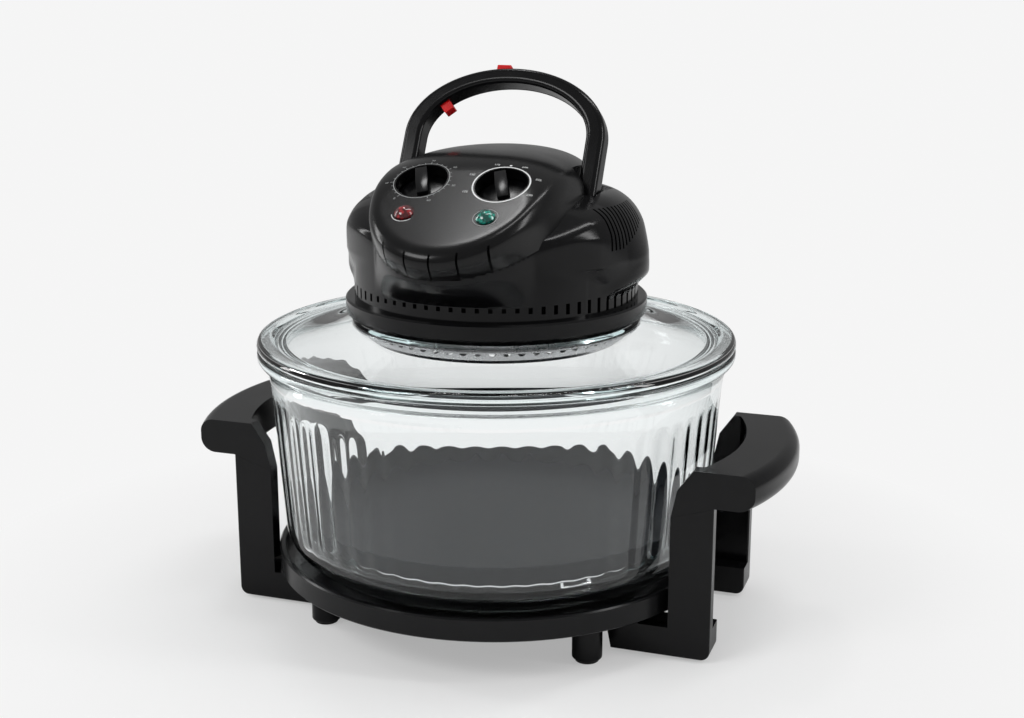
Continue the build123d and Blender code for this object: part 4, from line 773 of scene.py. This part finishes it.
# ---------------------------------------------------------------- controls
KNOB_TURN = radians(21.0)
KNOB_BAR = ((-3.6, -13.2), (3.6, -13.2), (4.2, 0.0), (3.8, 13.6), (-3.8, 13.6), (-4.2, 0.0))
KNOB_DISCS = ((16.4, -11.7, -9.0), (14.2, -9.2, -8.2))  # radius, foot and top
KNOB_BAR_FOOT, KNOB_BAR_TOP = -9.0, 0.8
KNOB_BEVEL = 0.9
PRINT_LIFT = 0.12
PRINT_SEARCH = (-6.0, 2.0)
TIMER_TEXTS = ("60", "50", "40", "30", "20", "10", "0")
TIMER_DEGREES = (-60, 50)  # place of the first number, and step to the next
HEAT_TEXTS = ("125", "150", "175", "200", "225", "250")
HEAT_DEGREES = (205, -46)
TEXT_HEIGHT = 1.9
TICKS = 25
TICK_DEGREES = (-60, 12.5)


def bevelled(mesh, width):
    """The mesh with its sharp edges turned over."""
    piece = linked(mesh.name, mesh)
    step = piece.modifiers.new("edge", "BEVEL")
    step.width = width * MM
    step.segments = 3
    step.limit_method = "ANGLE"
    step.angle_limit = 0.7
    made = evaluated(piece)
    bpy.data.objects.remove(piece)
    return made


def knob(name, x, along, body, node):
    """Stepped disc with a tall finger bar across it, turned as the dial is set."""
    def place(a, b, h):
        return on_face(x + a, along + b, h)

    bar = [(px * cos(KNOB_TURN) - py * sin(KNOB_TURN), px * sin(KNOB_TURN) + py * cos(KNOB_TURN))
           for px, py in KNOB_BAR]
    pieces = [prism(circle(radius), foot, top, place) for radius, foot, top in KNOB_DISCS]
    pieces.append(prism(bar, KNOB_BAR_FOOT, KNOB_BAR_TOP, place))
    made = bevelled(joined(name, pieces), KNOB_BEVEL)
    made.materials.clear()
    made.materials.append(finish("black_plastic"))
    piece = shown(name, made)
    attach(piece, body)
    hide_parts(node)


def settled(points, rise):
    """Points of the face's plane laid on the cover's real surface, and lifted by a hair."""
    points = np.array(points)
    low, high = (np.full(len(points), end) for end in PRINT_SEARCH)
    for _ in range(PRINT_HALVINGS):
        mid = (low + high) / 2
        p = points + FACE_OUT * mid[:, None]
        inside = cover_distance(p[:, 0], p[:, 1], p[:, 2]) < 0
        low, high = np.where(inside, mid, low), np.where(inside, high, mid)
    return points + FACE_OUT * (low + rise)[:, None]


def strip(path, width):
    """Flat quads along a path of (x, along) points."""
    path = np.array(path, float)
    run = np.gradient(path, axis=0)
    side = np.stack([-run[:, 1], run[:, 0]], -1)
    side /= np.linalg.norm(side, axis=1)[:, None]
    edge = np.concatenate([path + side * width / 2, path - side * width / 2])
    n = len(path)
    return edge, [(i, i + 1, n + i + 1, n + i) for i in range(n - 1)]


def arc_path(x, along, radius, start, stop, count):
    """Points on an arc of the face, its ends given in degrees."""
    return [(x + radius * cos(radians(a)), along + radius * sin(radians(a)))
            for a in np.linspace(start, stop, count)]


def numeral(text, x, along, height):
    """Outline of a plain printed number, centred on a place of the face."""
    curve = bpy.data.curves.new("numeral", "FONT")
    curve.body = text
    curve.size = height * 1.4
    curve.align_x = "CENTER"
    curve.align_y = "CENTER"
    holder = linked("numeral", curve)
    mesh = evaluated(holder)
    points = np.array([(v.co.x + x, v.co.y + along) for v in mesh.vertices])
    faces = [tuple(p.vertices) for p in mesh.polygons]
    bpy.data.objects.remove(holder)
    return points, faces


def print_ink(name, dark, light):
    """Pad-printed ink, nearly even."""
    shader = Shader(name).set(Roughness=0.45, Specular_IOR_Level=0.4)
    shader.tint(shader.noise(1400.0, 4.0), dark, light)
    shader.bump(shader.noise(3000.0, 2.0), 0.2, 0.00001)
    return shader.material


def printed(name, marks, material):
    """One thin print made of flat marks on the cover's face."""
    verts, faces = [], []
    for points, quads in marks:
        n = len(verts)
        verts += [on_face(px, py) for px, py in points]
        faces += [tuple(i + n for i in quad) for quad in quads]
    mesh = new_mesh(name, (settled(verts, PRINT_LIFT) * MM).tolist(), faces)
    mesh.materials.append(material)
    piece = shown(name, mesh)
    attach(piece, "lid")


def dial_prints():
    """Rings, ticks and plain numbers round the two knobs, and rings round the lamps."""
    white = print_ink("print_white", (0.74, 0.75, 0.75), (0.82, 0.83, 0.83))
    grey = print_ink("print_grey", (0.30, 0.31, 0.31), (0.38, 0.39, 0.39))
    (left_x, left_y), (right_x, right_y) = KNOBS
    (red_x, red_y), (green_x, green_y) = LAMPS
    strong = [strip(arc_path(right_x, right_y, 18.6, 0, 360, 120), 1.0),
              strip(arc_path(right_x, right_y + 20.9, 0.45, 0, 360, 12), 0.9)]
    faint = [strip(arc_path(left_x, left_y, 18.5, 0, 360, 120), 0.45)]
    for i in range(TICKS):
        a = radians(TICK_DEGREES[0] + TICK_DEGREES[1] * i)
        ends = [(left_x + r * cos(a), left_y + r * sin(a)) for r in (18.5, 20.0 + 0.9 * (i % 4 == 0))]
        faint.append(strip(ends, 0.35))
    for i, text in enumerate(TIMER_TEXTS):
        a = radians(TIMER_DEGREES[0] + TIMER_DEGREES[1] * i)
        faint.append(numeral(text, left_x + 23.6 * cos(a), left_y + 23.2 * sin(a), TEXT_HEIGHT))
    for i, text in enumerate(HEAT_TEXTS):
        a = radians(HEAT_DEGREES[0] + HEAT_DEGREES[1] * i)
        strong.append(numeral(text, right_x + 23.8 * cos(a), right_y + 22.6 * sin(a), TEXT_HEIGHT))
    strong.append(strip(arc_path(red_x, red_y, 8.0, 195, 320, 40), 0.5))
    faint.append(strip(arc_path(green_x, green_y, 8.0, 0, 360, 60), 0.4))
    printed("dial_print_bright", strong, white)
    printed("dial_print_soft", faint, grey)


def controls():
    (left_x, left_y), (right_x, right_y) = KNOBS
    knob("timer_knob_cap", left_x, left_y, "timer_knob", "timer_knob")
    knob("thermostat_knob_cap", right_x, right_y, "thermostat_knob", "thermostat_knob")
    dial_prints()


# ---------------------------------------------------------------- studio
FLOOR_HALF = 12.0
FLOOR_FADE = (0.17, 0.42)  # metres from the object where the floor turns into the backdrop's colour
WORLD_LIGHT = 0.36  # share of the backdrop's brightness that lights the object
MIDDLE = (0.0, 0.0, 0.2)
STUDIO_LAMPS = (  # name, place, aim, size and watts
    ("key_softbox", (-1.1, -1.5, 1.6), MIDDLE, (1.0, 0.7), 17.0),
    ("right_strip", (1.4, 0.0, 1.0), MIDDLE, (0.22, 1.1), 7.0),
    ("face_glow", (-0.56, 0.52, 2.2), MIDDLE, (0.34, 0.26), 4.0),
    ("left_strip", (-1.5, 0.0, 0.7), MIDDLE, (0.22, 1.0), 5.0),
    ("ridge_strip", (0.55, 0.33, 2.05), (0.33, 0.0, 0.2), (0.16, 1.5), 9.0),
)
CAMERA_PLACE = (0.3543, -0.9828, 0.4444)
CAMERA_AIM = (0.01005, 0.00351, 0.1738)
CAMERA_LENS = 54.31
CAMERA_SENSOR = 36.0


def studio_floor():
    """Pale level floor that keeps the object's soft shadow and fades into the backdrop's colour."""
    side = FLOOR_HALF
    corners = [(-side, -side, 0), (side, -side, 0), (side, side, 0), (-side, side, 0)]
    mesh = new_mesh("studio_floor", corners, [(0, 1, 2, 3)])
    floor = linked("studio_floor", mesh)
    shader = Shader("studio_floor").set(Roughness=0.9, Specular_IOR_Level=0.1,
                                        Base_Color=(FLOOR_TONE, FLOOR_TONE, FLOOR_TONE, 1.0))
    nodes, links = shader.nodes, shader.links
    place = nodes.new("ShaderNodeTexCoord")
    length = nodes.new("ShaderNodeVectorMath")
    length.operation = "LENGTH"
    links.new(place.outputs["Object"], length.inputs[0])
    away = shader.spread(length.outputs["Value"], 0.42, 1.0, *FLOOR_FADE)
    share = nodes.new("ShaderNodeMath")
    share.operation = "MULTIPLY"
    links.new(away, share.inputs[0])
    links.new(seen_directly(nodes, links), share.inputs[1])
    glow = shader.node("ShaderNodeEmission", Strength=1.0, Color=(BACK_TONE, BACK_TONE, BACK_TONE, 1.0))
    mix = nodes.new("ShaderNodeMixShader")
    links.new(share.outputs["Value"], mix.inputs[0])
    links.new(shader.bsdf.outputs["BSDF"], mix.inputs[1])
    links.new(glow.outputs["Emission"], mix.inputs[2])
    links.new(mix.outputs["Shader"], shader.output.inputs["Surface"])
    mesh.materials.append(shader.material)


def studio_world():
    """Even pale surround, seen as it is by the camera and through glass, and dimmer as a light."""
    world = bpy.data.worlds.new("studio")
    bpy.context.scene.world = world
    world.use_nodes = True
    nodes, links = world.node_tree.nodes, world.node_tree.links
    background = nodes["Background"]
    background.inputs["Color"].default_value = (BACK_TONE, BACK_TONE, BACK_TONE, 1.0)
    strength = nodes.new("ShaderNodeMapRange")
    strength.inputs["To Min"].default_value = WORLD_LIGHT
    strength.inputs["To Max"].default_value = 1.0
    links.new(seen_directly(nodes, links), strength.inputs["Value"])
    links.new(strength.outputs["Result"], background.inputs["Strength"])


def aimed(holder, place, aim):
    """Puts a lamp or camera at a place and turns it towards another."""
    holder.location = place
    holder.rotation_euler = (Vector(aim) - Vector(place)).to_track_quat("-Z", "Y").to_euler()


def studio_lamps():
    for name, place, aim, size, power in STUDIO_LAMPS:
        lamp = bpy.data.lights.new(name, "AREA")
        lamp.shape = "RECTANGLE"
        lamp.size, lamp.size_y = size
        lamp.energy = power
        aimed(linked(name, lamp), place, aim)


def camera():
    data = bpy.data.cameras.new("camera")
    data.sensor_width = CAMERA_SENSOR
    data.lens = CAMERA_LENS
    holder = linked("camera", data)
    aimed(holder, CAMERA_PLACE, CAMERA_AIM)
    bpy.context.scene.camera = holder


dress_cad()
head_mouldings()
glass_pieces()
controls()
studio_floor()
studio_world()
studio_lamps()
camera()
bpy.context.scene.view_settings.view_transform = "Standard"
